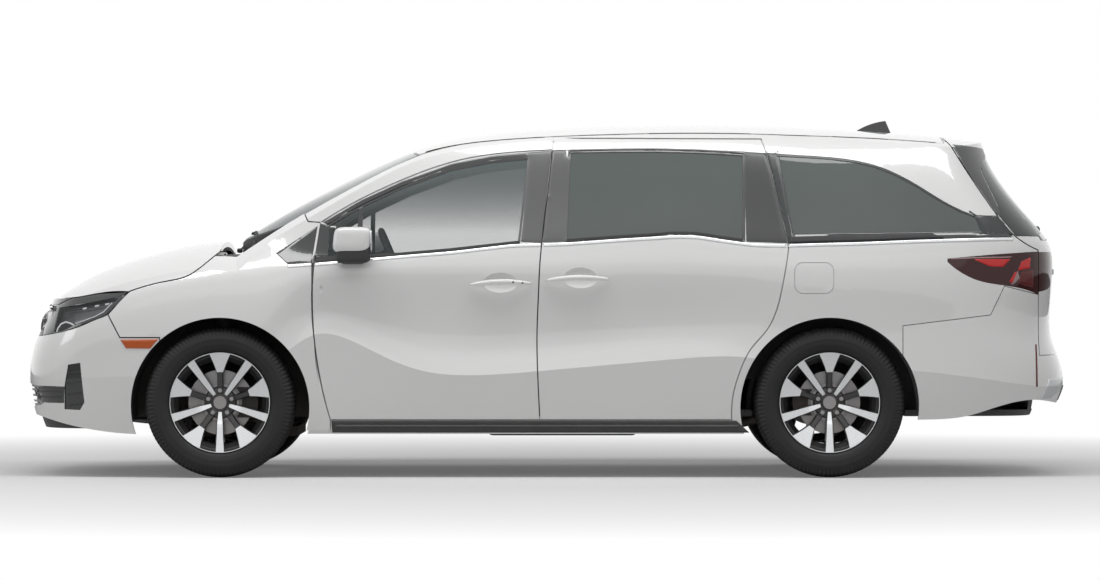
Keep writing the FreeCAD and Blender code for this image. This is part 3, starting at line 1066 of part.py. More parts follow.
# Engine, tank and exhaust
engine = block(-2230, -1720, -400, 0, 400.3, 930).fuse(block(-2040, -1940, -480, 0, 400.3, 460))
piece("engine", whole(engine))
tank = Part.makeBox(760, 640, 110, Vector(-300, -320, FLOOR - DROP - 110 - FIT))
piece("fuel_tank", tank.makeFillet(30, tank.Edges))
pipe = rod((-1200, 0, 262), (-350, 360, 262), 28).fuse([rod((-350, 360, 262), (700, 360, 262), 28), Part.makeSphere(28, Vector(-350, 360, 262))])
muffler = Part.makeBox(200, 680, 110, Vector(1930, -340, FLOOR - DROP + MUFFLER[3] - 124))
muffler = muffler.makeFillet(50, [edge for edge in muffler.Edges if edge.Length > 600])
muffler = muffler.fuse(Part.makeBox(60, 60, 14 - FIT, Vector(2000, -30, FLOOR - DROP + MUFFLER[3] - 14)))
hanger = Part.makeBox(30, 40, FLOOR - DROP - FIT - 270, Vector(400, 340, 270))
piece("exhaust", Part.makeCompound([pipe.fuse(hanger), muffler]))

# Cabin: seats in three rows, dashboard and steering wheel


def seat(x, y, width, z=FLOOR):
    """A seat at its hip point's station: base, cushion and reclined back with a headrest."""
    cushion = Part.makeBox(size("SeatDepth"), width, size("SeatThick"), Vector(x - size("SeatDepth"), y - width / 2, z + 230))
    cushion = cushion.makeFillet(40, cushion.Edges)
    back = Part.makeBox(size("BackThick"), width, size("BackHeight"), Vector(0, -width / 2, 0))
    back = back.makeFillet(40, back.Edges)
    rest = Part.makeBox(90, 260, 170, Vector(15, -130, size("BackHeight") + 15))
    rest = rest.makeFillet(30, rest.Edges)
    posts = [Part.makeCylinder(7, 60, Vector(60, side_of, size("BackHeight") - 20)) for side_of in (-70, 70)]
    upper = back.fuse([rest] + posts)
    upper.Placement = Placement(Vector(x - 40, y, z + 230 + size("SeatThick") * 0.55), Rotation(Vector(0, 1, 0), 18))
    base = Part.makeBox(size("SeatDepth") - 80, width - 80, 232 + FIT, Vector(x - size("SeatDepth") + 40, y - width / 2 + 40, z + FIT))
    return cushion.fuse([upper, base])


front_seat = seat(-170, -420, size("SeatWidth"))
middle_seat = seat(880, -400, size("SeatWidth"))
piece("front_seats", both(front_seat))
piece("middle_seats", both(middle_seat))
third = seat(1840, 0, 1180, FLOOR + 0)
piece("rear_bench", third.cut(Part.makeCylinder(401, 1400, Vector(REAR_AXLE, -700, RADIUS - size("ArchDrop")), Vector(0, 1, 0))))
dash = block(-1249.7, -880, -1000, 0, 700, 1120).common(prism(corners([(-1262, 700), (-980, 700), (-860, 900), (-880, 1050), (-1000, 1120), (-1262, 1130)])))
dash = below(dash.common(skin(WALL + 2)), "crown", size("CowlSink") + 30)
piece("dashboard", whole(dash))
column = rod((-1000, -420, 950), (-800, -420, 1030), 30)
tilt = Vector(200, 0, 80).normalize()
wheel_centre = Vector(-760, -420, 1046)
ring_wheel = Part.makeTorus(size("SteerRadius"), size("SteerRim"), wheel_centre, tilt)
hub_wheel = Part.makeCylinder(55, 40, wheel_centre - tilt * 30, tilt)
bars = [rod(wheel_centre - tilt * 8, wheel_centre - tilt * 8 + v, 12) for v in (Vector(0, -186, 0), Vector(0, 186, 0), Vector(0, 0, 0) + tilt.cross(Vector(0, 1, 0)) * 186)]
piece("steering_wheel", ring_wheel.fuse([hub_wheel] + bars))
piece("steering_column", rod((-1000, -420, 950), wheel_centre - tilt * (30 + FIT), 26).cut(dash))

# Outside fittings: mirrors, wipers, spoiler, antenna
mirror_body = Part.makeBox(200, 132, 150, Vector(-1047, -1130, 1085))
mirror_body = mirror_body.makeFillet(42, mirror_body.Edges)
foot = Part.makeBox(130, 100, 60, Vector(-1017, -1062, 1050)).fuse(Part.makeBox(100, 60, 70, Vector(-1000, -1050, 1060)))
mirror_left = mirror_body.fuse(foot).cut(skin(-FIT))
piece("mirror_left", mirror_left)
piece("mirror_right", mirrored(mirror_left))
fin = prism([[(1561, 1722), (1640, 1765), (1730, 1787)], [(1730, 1787), (1758, 1722)], [(1758, 1722), (1561, 1722)]], 0, "side", -22, 22).cut(top("canopy", -FIT))
piece("antenna", fin)


def check_and_write():
    """Stop on any object that failed, then write each piece to its own file."""
    doc.recompute()
    for obj in doc.Objects:
        if "Invalid" in obj.State or "Error" in obj.State:
            raise RuntimeError("%s failed: %s" % (obj.Label, obj.State))
    os.makedirs("parts", exist_ok=True)
    for label, obj in PIECES.items():
        shape = obj.Shape
        if shape.isNull() or not shape.isValid() or not shape.Solids:
            raise RuntimeError("%s has no valid solid" % label)
        print("%-26s %2d solids %9.3f litres" % (label, len(shape.Solids), shape.Volume / 1e6))
    for label, obj in PIECES.items():
        obj.Shape.exportStep("parts/%s.step" % label)


check_and_write()
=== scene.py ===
import logging
import math
from dataclasses import dataclass
from enum import Enum
from functools import lru_cache
from typing import Mapping, Sequence

import bpy
import numpy as np
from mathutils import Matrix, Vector


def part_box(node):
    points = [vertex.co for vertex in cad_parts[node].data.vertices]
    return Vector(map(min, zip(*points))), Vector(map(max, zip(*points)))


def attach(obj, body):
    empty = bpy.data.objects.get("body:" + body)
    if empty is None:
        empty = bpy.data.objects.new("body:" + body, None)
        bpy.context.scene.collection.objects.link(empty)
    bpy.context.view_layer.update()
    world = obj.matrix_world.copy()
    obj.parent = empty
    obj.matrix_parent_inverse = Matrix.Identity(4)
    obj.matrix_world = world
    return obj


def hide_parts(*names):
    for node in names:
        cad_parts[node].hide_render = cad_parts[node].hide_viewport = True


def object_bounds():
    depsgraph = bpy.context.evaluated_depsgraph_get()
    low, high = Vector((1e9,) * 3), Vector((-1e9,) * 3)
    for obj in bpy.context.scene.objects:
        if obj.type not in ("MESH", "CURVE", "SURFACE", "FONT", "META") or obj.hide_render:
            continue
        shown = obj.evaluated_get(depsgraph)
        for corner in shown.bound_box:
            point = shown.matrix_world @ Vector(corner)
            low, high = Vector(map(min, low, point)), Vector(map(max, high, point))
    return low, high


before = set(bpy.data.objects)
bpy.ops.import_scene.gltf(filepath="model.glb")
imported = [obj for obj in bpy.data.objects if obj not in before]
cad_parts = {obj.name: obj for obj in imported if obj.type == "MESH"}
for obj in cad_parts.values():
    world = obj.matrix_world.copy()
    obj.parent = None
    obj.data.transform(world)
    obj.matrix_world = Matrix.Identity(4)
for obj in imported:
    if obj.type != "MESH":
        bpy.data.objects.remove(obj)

"""White family minivan in a plain studio: wheels, trim, lamps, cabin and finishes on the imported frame.

Frame: metres, front towards -X, left side towards -Y, +Z up, ground at zero.
"""

LOG = logging.getLogger("minivan")
CAD_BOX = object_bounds()
Array = np.ndarray
Points = Sequence[tuple[float, float]]
Part = tuple[Array, Array]


class Side(Enum):
    """Which side of the van a piece is on. Its value multiplies the left side's Y."""

    LEFT = 1
    RIGHT = -1

    @property
    def word(self) -> str:
        """The side's name in node and body names."""
        return self.name.lower()


# Node groups that more than one finish uses


def wire(tree: bpy.types.NodeTree, node: bpy.types.Node, inputs: Mapping[str | int, object]) -> bpy.types.Node:
    """Sets a node's inputs.

    Args:
        tree: The tree that holds the node.
        node: The node.
        inputs: By input name or number, a plain value or the output socket that feeds it.

    Returns:
        The same node.
    """
    for label, value in inputs.items():
        if isinstance(value, bpy.types.NodeSocket):
            tree.links.new(value, node.inputs[label])
        else:
            node.inputs[label].default_value = value
    return node


def add_node(tree: bpy.types.NodeTree, kind: str, inputs: Mapping[str | int, object] | None = None,
             **settings: object) -> bpy.types.Node:
    """Adds a shader node to a tree.

    Args:
        tree: The tree.
        kind: The node's type, without the word ShaderNode before it.
        inputs: What its inputs hold, as for wire.
        settings: Its own settings, which come before its inputs.

    Returns:
        The node.
    """
    node = tree.nodes.new(f"ShaderNode{kind}")
    for name, value in settings.items():
        setattr(node, name, value)
    return wire(tree, node, inputs or {})


def new_group(name: str, values: dict[str, float], outputs: Sequence[str]) -> bpy.types.ShaderNodeTree:
    """An empty shader group with a vector input, float inputs and float outputs.

    Args:
        name: The group's name.
        values: Input names with their defaults.
        outputs: Output names.

    Returns:
        The node tree, with its group input and output nodes in place.
    """
    tree = bpy.data.node_groups.new(name, "ShaderNodeTree")
    tree.interface.new_socket("Vector", in_out="INPUT", socket_type="NodeSocketVector")
    for label, value in values.items():
        tree.interface.new_socket(label, in_out="INPUT", socket_type="NodeSocketFloat").default_value = value
    for label in outputs:
        tree.interface.new_socket(label, in_out="OUTPUT", socket_type="NodeSocketFloat")
    tree.nodes.new("NodeGroupInput")
    tree.nodes.new("NodeGroupOutput")
    return tree


def grain_group() -> bpy.types.ShaderNodeTree:
    """Moulded grain: rounded cells broken up by noise, as a height and a mask.

    Returns:
        The group "Grain".
    """
    tree = new_group("Grain", {"Scale": 900.0, "Breakup": 3.0}, ("Height", "Mask"))
    given = tree.nodes["Group Input"].outputs
    cells = add_node(tree, "TexVoronoi", {"Vector": given["Vector"], "Scale": given["Scale"]}, feature="SMOOTH_F1")
    noise = add_node(tree, "TexNoise", {"Vector": given["Vector"], "Scale": given["Breakup"], "Detail": 4.0})
    height = add_node(tree, "Math", {0: noise.outputs["Fac"], 1: 0.4, 2: cells.outputs["Distance"]},
                      operation="MULTIPLY_ADD")
    wire(tree, tree.nodes["Group Output"], {"Height": height.outputs[0], "Mask": noise.outputs["Fac"]})
    return tree


def film_group() -> bpy.types.ShaderNodeTree:
    """Road film: more of it low on the car, broken up by noise.

    Returns:
        The group "RoadFilm", whose mask is 1 where the film is thick.
    """
    tree = new_group("RoadFilm", {"Top": 0.5, "Spots": 9.0}, ("Mask",))
    given = tree.nodes["Group Input"].outputs
    height = add_node(tree, "SeparateXYZ", {0: given["Vector"]})
    noise = add_node(tree, "TexNoise", {"Vector": given["Vector"], "Scale": given["Spots"], "Detail": 6.0})
    share = add_node(tree, "Math", {0: height.outputs["Z"], 1: given["Top"]}, operation="DIVIDE")
    lowness = add_node(tree, "Math", {0: 1.0, 1: share.outputs[0]}, operation="SUBTRACT", use_clamp=True)
    mask = add_node(tree, "Math", {0: lowness.outputs[0], 1: noise.outputs["Fac"]}, operation="MULTIPLY")
    wire(tree, tree.nodes["Group Output"], {"Mask": mask.outputs[0]})
    return tree


GRAIN = grain_group()
ROAD_FILM = film_group()
COAT_ROUGHNESS = 0.03
GLASS_IOR = 1.5
CELLS_PER_BREAKUP = 40


@dataclass(frozen=True)
class Finish:
    """One surface finish of the van.

    Fields give the Principled values, the second tone that the road film brings in, the size and strength of the
    surface's own relief, and for glass its painted shade: the heights between which its opacity rises and by how much.
    """

    name: str
    color: tuple[float, float, float]
    tone: tuple[float, float, float]
    roughness: float = 0.4
    roughness_gain: float = 0.1
    metallic: float = 0.0
    coat: float = 0.0
    alpha: float = 1.0
    edge_alpha: float = 1.0
    shade: tuple[float, float, float] | None = None
    specular: float = 0.5
    sheen: float = 0.0
    emission: float = 0.0
    relief_scale: float = 900.0
    relief: float = 0.0
    relief_depth: float = 0.0002
    film_top: float = 0.5
    spots: float = 9.0
    stretch: tuple[float, float, float] = (1.0, 1.0, 1.0)
    from_uv: bool = False

    def material(self) -> bpy.types.Material:
        """The finish as a Blender material, made once.

        Returns:
            The material with this finish's name.
        """
        if self.name in bpy.data.materials:
            return bpy.data.materials[self.name]
        made = bpy.data.materials.new(self.name)
        made.use_nodes = True
        tree, base = made.node_tree, (*self.color, 1.0)
        shader = wire(tree, tree.nodes["Principled BSDF"], {
            "Base Color": base, "Roughness": self.roughness, "Metallic": self.metallic, "Coat Weight": self.coat,
            "Coat Roughness": COAT_ROUGHNESS, "Specular IOR Level": self.specular, "Sheen Weight": self.sheen})
        place = add_node(tree, "TexCoord").outputs
        mapping = add_node(tree, "Mapping", {"Vector": place["UV" if self.from_uv else "Object"],
                                             "Scale": self.stretch})
        vector = mapping.outputs["Vector"]
        film = add_node(tree, "Group", {"Vector": vector, "Top": self.film_top, "Spots": self.spots},
                        node_tree=ROAD_FILM)
        grain = add_node(tree, "Group", {"Vector": vector, "Scale": self.relief_scale,
                                         "Breakup": self.relief_scale / CELLS_PER_BREAKUP}, node_tree=GRAIN)
        tint = add_node(tree, "Mix", {0: film.outputs["Mask"], 6: base, 7: (*self.tone, 1.0)}, data_type="RGBA")
        rough = add_node(tree, "MapRange", {"Value": grain.outputs["Mask"], "To Min": self.roughness,
                                            "To Max": min(1.0, self.roughness + self.roughness_gain)})
        wire(tree, shader, {"Base Color": tint.outputs[2], "Roughness": rough.outputs["Result"]})
        if self.relief:
            bump = add_node(tree, "Bump", {"Strength": self.relief, "Distance": self.relief_depth,
                                           "Height": grain.outputs["Height"]})
            wire(tree, shader, {"Normal": bump.outputs["Normal"]})
        if self.emission:
            wire(tree, shader, {"Emission Color": base, "Emission Strength": self.emission})
        if self.alpha < 1.0:
            wire(tree, shader, {"Alpha": self.opacity(tree, place["Object"])})
        return made

    def opacity(self, tree: bpy.types.NodeTree, place: bpy.types.NodeSocket) -> bpy.types.NodeSocket:
        """A glass's opacity: more of it at a glancing angle, and more towards the top, as painted shade under the roof.

        Args:
            tree: The material's nodes.
            place: The object's own coordinates.

        Returns:
            The socket that holds it.
        """
        facing = add_node(tree, "Fresnel", {"IOR": GLASS_IOR})
        plain = add_node(tree, "MapRange", {"Value": facing.outputs["Fac"], "To Min": self.alpha,
                                            "To Max": self.edge_alpha})
        if self.shade is None:
            return plain.outputs["Result"]
        # Painted shade: between these heights the glass grows more opaque, and so darker, towards its top.
        low, high, gain = self.shade
        height = add_node(tree, "SeparateXYZ", {0: place})
        painted_shade_band = add_node(tree, "MapRange", {"Value": height.outputs["Z"], "From Min": low, "From Max": high,
                                           "To Max": gain})
        total = add_node(tree, "Math", {0: plain.outputs["Result"], 1: painted_shade_band.outputs["Result"]}, operation="ADD",
                         use_clamp=True)
        return total.outputs[0]

    def on(self, obj: bpy.types.Object) -> bpy.types.Object:
        """Gives an object this finish in each of its slots, or in a new one.

        Args:
            obj: The piece.

        Returns:
            The same piece.
        """
        if not obj.data.materials:
            obj.data.materials.append(self.material())
        for index in range(len(obj.data.materials)):
            obj.data.materials[index] = self.material()
        return obj


PAINT = Finish("white_clearcoat", (0.80, 0.80, 0.795), (0.74, 0.735, 0.72), roughness=0.32, roughness_gain=0.05,
               coat=1.0, relief_scale=350, relief=0.02, relief_depth=0.00005, film_top=0.45)
GLOSS_BLACK = Finish("gloss_black_trim", (0.022, 0.023, 0.025), (0.05, 0.05, 0.05), roughness=0.12, coat=0.8,
                     relief_scale=500, relief=0.02)
SATIN_BLACK = Finish("grained_black_plastic", (0.028, 0.028, 0.030), (0.07, 0.068, 0.065), roughness=0.5,
                     roughness_gain=0.2, relief_scale=1400, relief=0.5, relief_depth=0.0003)
UNDERBODY = Finish("underbody_coating", (0.035, 0.035, 0.036), (0.09, 0.08, 0.07), roughness=0.65, roughness_gain=0.25,
                   relief_scale=300, relief=0.6, relief_depth=0.0015, film_top=1.2, spots=5)
# Its last field is painted shade: the glass grows darker from the first height up to the second.
FRONT_GLASS = Finish("green_tinted_glass", (0.17, 0.205, 0.205), (0.50, 0.54, 0.55), roughness=0.02,
                     roughness_gain=0.01, alpha=0.12, edge_alpha=0.9, shade=(1.22, 1.52, 0.42), relief_scale=20,
                     film_top=1.7, spots=0.6)
# Its last field is painted shade: the glass grows darker from the first height up to the second.
PRIVACY_GLASS = Finish("privacy_glass", (0.105, 0.128, 0.120), (0.46, 0.49, 0.48), roughness=0.02, roughness_gain=0.01,
                       alpha=0.70, shade=(1.20, 1.52, 0.17), relief_scale=20, film_top=1.72, spots=0.6)
PRIVACY_TRIM = Finish("smoked_border", (0.030, 0.036, 0.036), (0.05, 0.055, 0.055), roughness=0.22, coat=0.1,
                      relief_scale=300, relief=0.02)
CHROME = Finish("bright_trim", (0.72, 0.73, 0.74), (0.6, 0.6, 0.6), roughness=0.08, roughness_gain=0.06, metallic=1.0,
                relief_scale=200)
MACHINED = Finish("machined_alloy", (0.78, 0.79, 0.80), (0.66, 0.67, 0.68), roughness=0.22, metallic=1.0,
                  relief_scale=60, relief=0.15, stretch=(1.0, 60.0, 1.0), from_uv=True)
WHEEL_BLACK = Finish("wheel_black_enamel", (0.018, 0.018, 0.020), (0.05, 0.045, 0.04), roughness=0.25, coat=0.5,
                     relief_scale=600, relief=0.05, film_top=0.8)
TYRE_RUBBER = Finish("tyre_rubber", (0.0055, 0.0055, 0.006), (0.014, 0.0135, 0.013), roughness=0.50, roughness_gain=0.2,
                     specular=0.38, relief_scale=700, relief=0.25, relief_depth=0.0003, film_top=0.9)
PILLAR_GREY = Finish("pillar_film_grey", (0.095, 0.096, 0.097), (0.13, 0.13, 0.13), roughness=0.28, coat=0.2,
                     relief_scale=700, relief=0.05, film_top=1.7)
PILLAR_DARK = Finish("pillar_film_dark", (0.036, 0.037, 0.038), (0.06, 0.06, 0.06), roughness=0.28, coat=0.15,
                     relief_scale=700, relief=0.05, film_top=1.7)
SEAL_RUBBER = Finish("seal_rubber", (0.015, 0.015, 0.015), (0.03, 0.03, 0.03), roughness=0.6, relief_scale=1200,
                     relief=0.2)
DISC_IRON = Finish("turned_disc_iron", (0.30, 0.30, 0.31), (0.24, 0.20, 0.17), roughness=0.35, metallic=0.9,
                   relief_scale=300, relief=0.2, film_top=0.8)
CAST_IRON = Finish("cast_iron_dark", (0.07, 0.07, 0.075), (0.12, 0.09, 0.07), roughness=0.6, roughness_gain=0.2,
                   metallic=0.6, relief_scale=350, relief=0.6, relief_depth=0.0008, film_top=1.0)
STEEL = Finish("aluminised_steel", (0.35, 0.35, 0.36), (0.25, 0.22, 0.19), roughness=0.4, roughness_gain=0.2,
               metallic=1.0, relief_scale=120, relief=0.2, film_top=0.6)
LENS = Finish("clear_lens", (0.10, 0.105, 0.11), (0.13, 0.135, 0.14), roughness=0.02, roughness_gain=0.01, alpha=0.16,
              edge_alpha=0.8, specular=0.7, relief_scale=15)
RED_LENS = Finish("red_lens", (0.048, 0.005, 0.006), (0.062, 0.007, 0.008), roughness=0.04, roughness_gain=0.02,
                  alpha=0.92, coat=0.1, specular=0.35, relief_scale=15, film_top=1.6)
RED_DARK = Finish("dark_red_panel", (0.110, 0.004, 0.006), (0.080, 0.004, 0.005), roughness=0.15, coat=0.2,
                  specular=0.35, relief_scale=160, relief=0.2, relief_depth=0.0006)
LAMP_LINE = Finish("lamp_light_guide", (0.28, 0.17, 0.17), (0.22, 0.12, 0.12), roughness=0.15, coat=1.0,
                   relief_scale=120)
BOWL = Finish("lamp_bowl", (0.20, 0.205, 0.21), (0.11, 0.115, 0.12), roughness=0.25, metallic=0.7, relief_scale=70,
              relief=0.3, relief_depth=0.002, film_top=1.3, spots=22)
FIN_GREY = Finish("spoiler_side_grey", (0.055, 0.056, 0.058), (0.07, 0.07, 0.07), roughness=0.35, coat=0.3,
                  relief_scale=900, relief=0.15)
SILVER = Finish("silver_bumper_trim", (0.60, 0.61, 0.62), (0.52, 0.53, 0.54), roughness=0.3, metallic=0.5, coat=0.5,
                relief_scale=300)
LEATHER = Finish("grey_leather", (0.42, 0.41, 0.39), (0.36, 0.35, 0.33), roughness=0.5, roughness_gain=0.15,
                 relief_scale=450, relief=0.45, relief_depth=0.0004, film_top=2.0, spots=14)
CABIN_PLASTIC = Finish("cabin_plastic", (0.045, 0.045, 0.047), (0.06, 0.06, 0.06), roughness=0.55, roughness_gain=0.2,
                       relief_scale=1100, relief=0.4, relief_depth=0.0003, film_top=2.0)
CARPET = Finish("carpet", (0.05, 0.05, 0.052), (0.08, 0.078, 0.075), roughness=0.9, sheen=0.3, relief_scale=1500,
                relief=0.9, relief_depth=0.001, film_top=2.0, spots=30)
REFLECTOR = Finish("lamp_reflector", (0.75, 0.76, 0.78), (0.6, 0.6, 0.62), roughness=0.12, metallic=1.0,
                   relief_scale=80)
BEZEL = Finish("lamp_bezel", (0.03, 0.03, 0.032), (0.06, 0.06, 0.062), roughness=0.3, relief_scale=400, relief=0.1)
GLOW = Finish("lamp_light_strip", (0.9, 0.92, 0.95), (0.8, 0.82, 0.85), roughness=0.2, emission=0.35, relief_scale=100)
RED_FACET = Finish("red_facet", (0.50, 0.006, 0.006), (0.36, 0.005, 0.005), roughness=0.2, emission=0.12, coat=0.2,
                   relief_scale=120, relief=0.3, relief_depth=0.001)
AMBER = Finish("amber_lens", (0.50, 0.085, 0.003), (0.40, 0.065, 0.003), roughness=0.2, coat=0.4, relief_scale=150,
               relief=0.3, relief_depth=0.001)
PLATE = Finish("blank_plate", (0.72, 0.72, 0.71), (0.65, 0.65, 0.64), roughness=0.4, relief_scale=300, relief=0.1)
MIRROR = Finish("mirror_glass", (0.85, 0.87, 0.88), (0.8, 0.82, 0.83), roughness=0.02, metallic=1.0, relief_scale=20)

# Mesh building


def merged(*parts: Part) -> Part:
    """Several (vertices, faces) pairs as one."""
    starts = np.cumsum([0] + [len(points) for points, _ in parts[:-1]])
    return np.concatenate([points for points, _ in parts]), np.concatenate([faces + start for (_, faces),
            start in zip(parts, starts)])


def mesh_piece(name: str, parts: Sequence[Part], finish: Finish) -> bpy.types.Object:
    """One smoothly shaded object from whole arrays.

    Args:
        name: The piece's name.
        parts: Pairs of N by 3 positions in metres and M by 4 vertex numbers.
        finish: Its finish.

    Returns:
        The object, at the origin.
    """
    vertices, faces = merged(*parts)
    mesh = bpy.data.meshes.new(name)
    mesh.from_pydata(vertices.tolist(), [], faces.tolist())
    mesh.validate()
    mesh.polygons.foreach_set("use_smooth", np.ones(len(mesh.polygons), bool))
    obj = bpy.data.objects.new(name, mesh)
    bpy.context.scene.collection.objects.link(obj)
    return finish.on(obj)


def on_side(part: Part, side: Side) -> Part:
    """A left part as it is, or mirrored to the right with its faces turned over."""
    points, faces = part
    return points * (1, side.value, 1), faces if side is Side.LEFT else faces[:, ::-1]


def grid_faces(rows: int, columns: int, wrap_rows: bool = False, wrap_columns: bool = False) -> Array:
    """Quads between neighbours of a grid of rows by columns points, closed in either direction if asked."""
    r = np.arange(rows if wrap_rows else rows - 1)
    c = np.arange(columns if wrap_columns else columns - 1)
    r, c = np.meshgrid(r, c, indexing="ij")
    r2, c2 = (r + 1) % rows, (c + 1) % columns
    return np.stack([r * columns + c, r2 * columns + c, r2 * columns + c2, r * columns + c2], -1).reshape(-1, 4)


def along_rail(rail: Points, t: Array) -> Array:
    """Points at shares t of a polyline's length, as an N by 2 array."""
    corners = np.asarray(rail, float)
    lengths = np.concatenate([[0.0], np.cumsum(np.hypot(*np.diff(corners, axis=0).T))])
    return np.stack([np.interp(t * lengths[-1], lengths, corners[:, k]) for k in (0, 1)], -1)


def grid_normals(points: Array) -> Array:
    """Unit normals of a surface grid, from the cross product of its two directions."""
    across, along = np.gradient(points, axis=0), np.gradient(points, axis=1)
    normal = np.cross(across, along)
    return normal / np.maximum(np.linalg.norm(normal, axis=-1, keepdims=True), NEARLY_ZERO)


def revolved(profile: Points, steps: int, centre: tuple[float, float, float], side: Side, closed: bool = False) -> Part:
    """A profile of (radius, outward) turned about a cross-car axle: x = r cos, z = r sin, y = outward.

    Args:
        profile: Radius and outward distance from the centre, in metres.
        steps: Points round the circle.
        centre: The axle point.
        side: The left side's outward direction is -Y.
        closed: Whether the profile is a closed ring.

    Returns:
        Vertices and faces.
    """
    shape = np.asarray(profile, float)
    turn = np.linspace(0, 2 * math.pi, steps, endpoint=False)
    r, out = shape[None, :, 0], shape[None, :, 1]
    grid = np.stack([centre[0] + r * np.cos(turn)[:, None], np.full((steps, 1), centre[1]) - side.value * out,
                     centre[2] + r * np.sin(turn)[:, None]], -1)
    faces = grid_faces(steps, len(shape), wrap_rows=True, wrap_columns=closed)
    return grid.reshape(-1, 3), faces if side is Side.RIGHT else faces[:, ::-1]


class View(Enum):
    """Where a moulding is drawn: the two drawn axes, the axis it is laid along and that axis's outward sign."""

    SIDE = (0, 2, 1, -1)
    FRONT = (1, 2, 0, -1)
    REAR = (1, 2, 0, 1)
    TOP = (0, 1, 2, 1)


@lru_cache(maxsize=None)
def surface_of(node: str) -> Array:
    """A CAD node's triangles as an N by 3 by 3 array of corner places."""
    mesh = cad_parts[node].data
    mesh.calc_loop_triangles()
    place = np.empty(len(mesh.vertices) * 3)
    mesh.vertices.foreach_get("co", place)
    corner = np.empty(len(mesh.loop_triangles) * 3, int)
    mesh.loop_triangles.foreach_get("vertices", corner)
    return place.reshape(-1, 3)[corner.reshape(-1, 3)]


BATCH = 128
NEARLY_ZERO = 1e-12
ON_EDGE = 1e-6


class SkinProbe:
    """Finds where the outermost surface of some CAD nodes lies at any point of one view."""

    def __init__(self, nodes: Sequence[str], view: View = View.SIDE) -> None:
        """Collects the nodes' triangles: the left half's for the side view, all of them for the others.

        Args:
            nodes: Names of the nodes.
            view: The view that the points are drawn in.
        """
        soup = np.concatenate([surface_of(node) for node in nodes])
        self.axes = view.value
        self.triangles = soup[soup[:, :, 1].max(1) < 0.001] if view is View.SIDE else soup

    def depth(self, first: Array, second: Array) -> Array:
        """The surface's place along the view's axis, the outermost over all triangles over each point.

        Args:
            first: The points' first drawn coordinates.
            second: Their second ones, of the same shape.

        Returns:
            The third coordinate. Where there is no surface it is filled from the nearest point that has one.
        """
        u, v, w, sign = self.axes
        first, second = np.asarray(first, float), np.asarray(second, float)
        px, pz = first.ravel(), second.ravel()
        tri = self.triangles
        near = ((tri[:, :, u].max(1) >= px.min()) & (tri[:, :, u].min(1) <= px.max())
                & (tri[:, :, v].max(1) >= pz.min()) & (tri[:, :, v].min(1) <= pz.max()))
        a, b, c = (tri[near][:, k] for k in range(3))
        base = (b[:, u] - a[:, u]) * (c[:, v] - a[:, v]) - (c[:, u] - a[:, u]) * (b[:, v] - a[:, v])
        flat = np.abs(base) > NEARLY_ZERO
        a, b, c, base = a[flat], b[flat], c[flat], base[flat]
        found = np.full(len(px), -np.inf)
        for start in range(0, len(px), BATCH):
            qx, qz = px[start:start + BATCH, None], pz[start:start + BATCH, None]
            s = ((qx - a[:, u]) * (c[:, v] - a[:, v]) - (c[:, u] - a[:, u]) * (qz - a[:, v])) / base
            t = ((b[:, u] - a[:, u]) * (qz - a[:, v]) - (qx - a[:, u]) * (b[:, v] - a[:, v])) / base
            inside = (s >= -ON_EDGE) & (t >= -ON_EDGE) & (s + t <= 1 + ON_EDGE)
            reach = np.where(inside, sign * (a[:, w] + s * (b[:, w] - a[:, w]) + t * (c[:, w] - a[:, w])), -np.inf)
            if reach.shape[1]:
                found[start:start + BATCH] = reach.max(1)
        known = np.isfinite(found)
        if known.any() and not known.all():
            gap = np.hypot(px[~known][:, None] - px[known], pz[~known][:, None] - pz[known])
            found[~known] = found[known][gap.argmin(1)]
        return sign * found.reshape(first.shape)


SHORTEST_RAIL = 1e-4
WIDEST_EDGE = 0.45
SHOULDER = 0.45


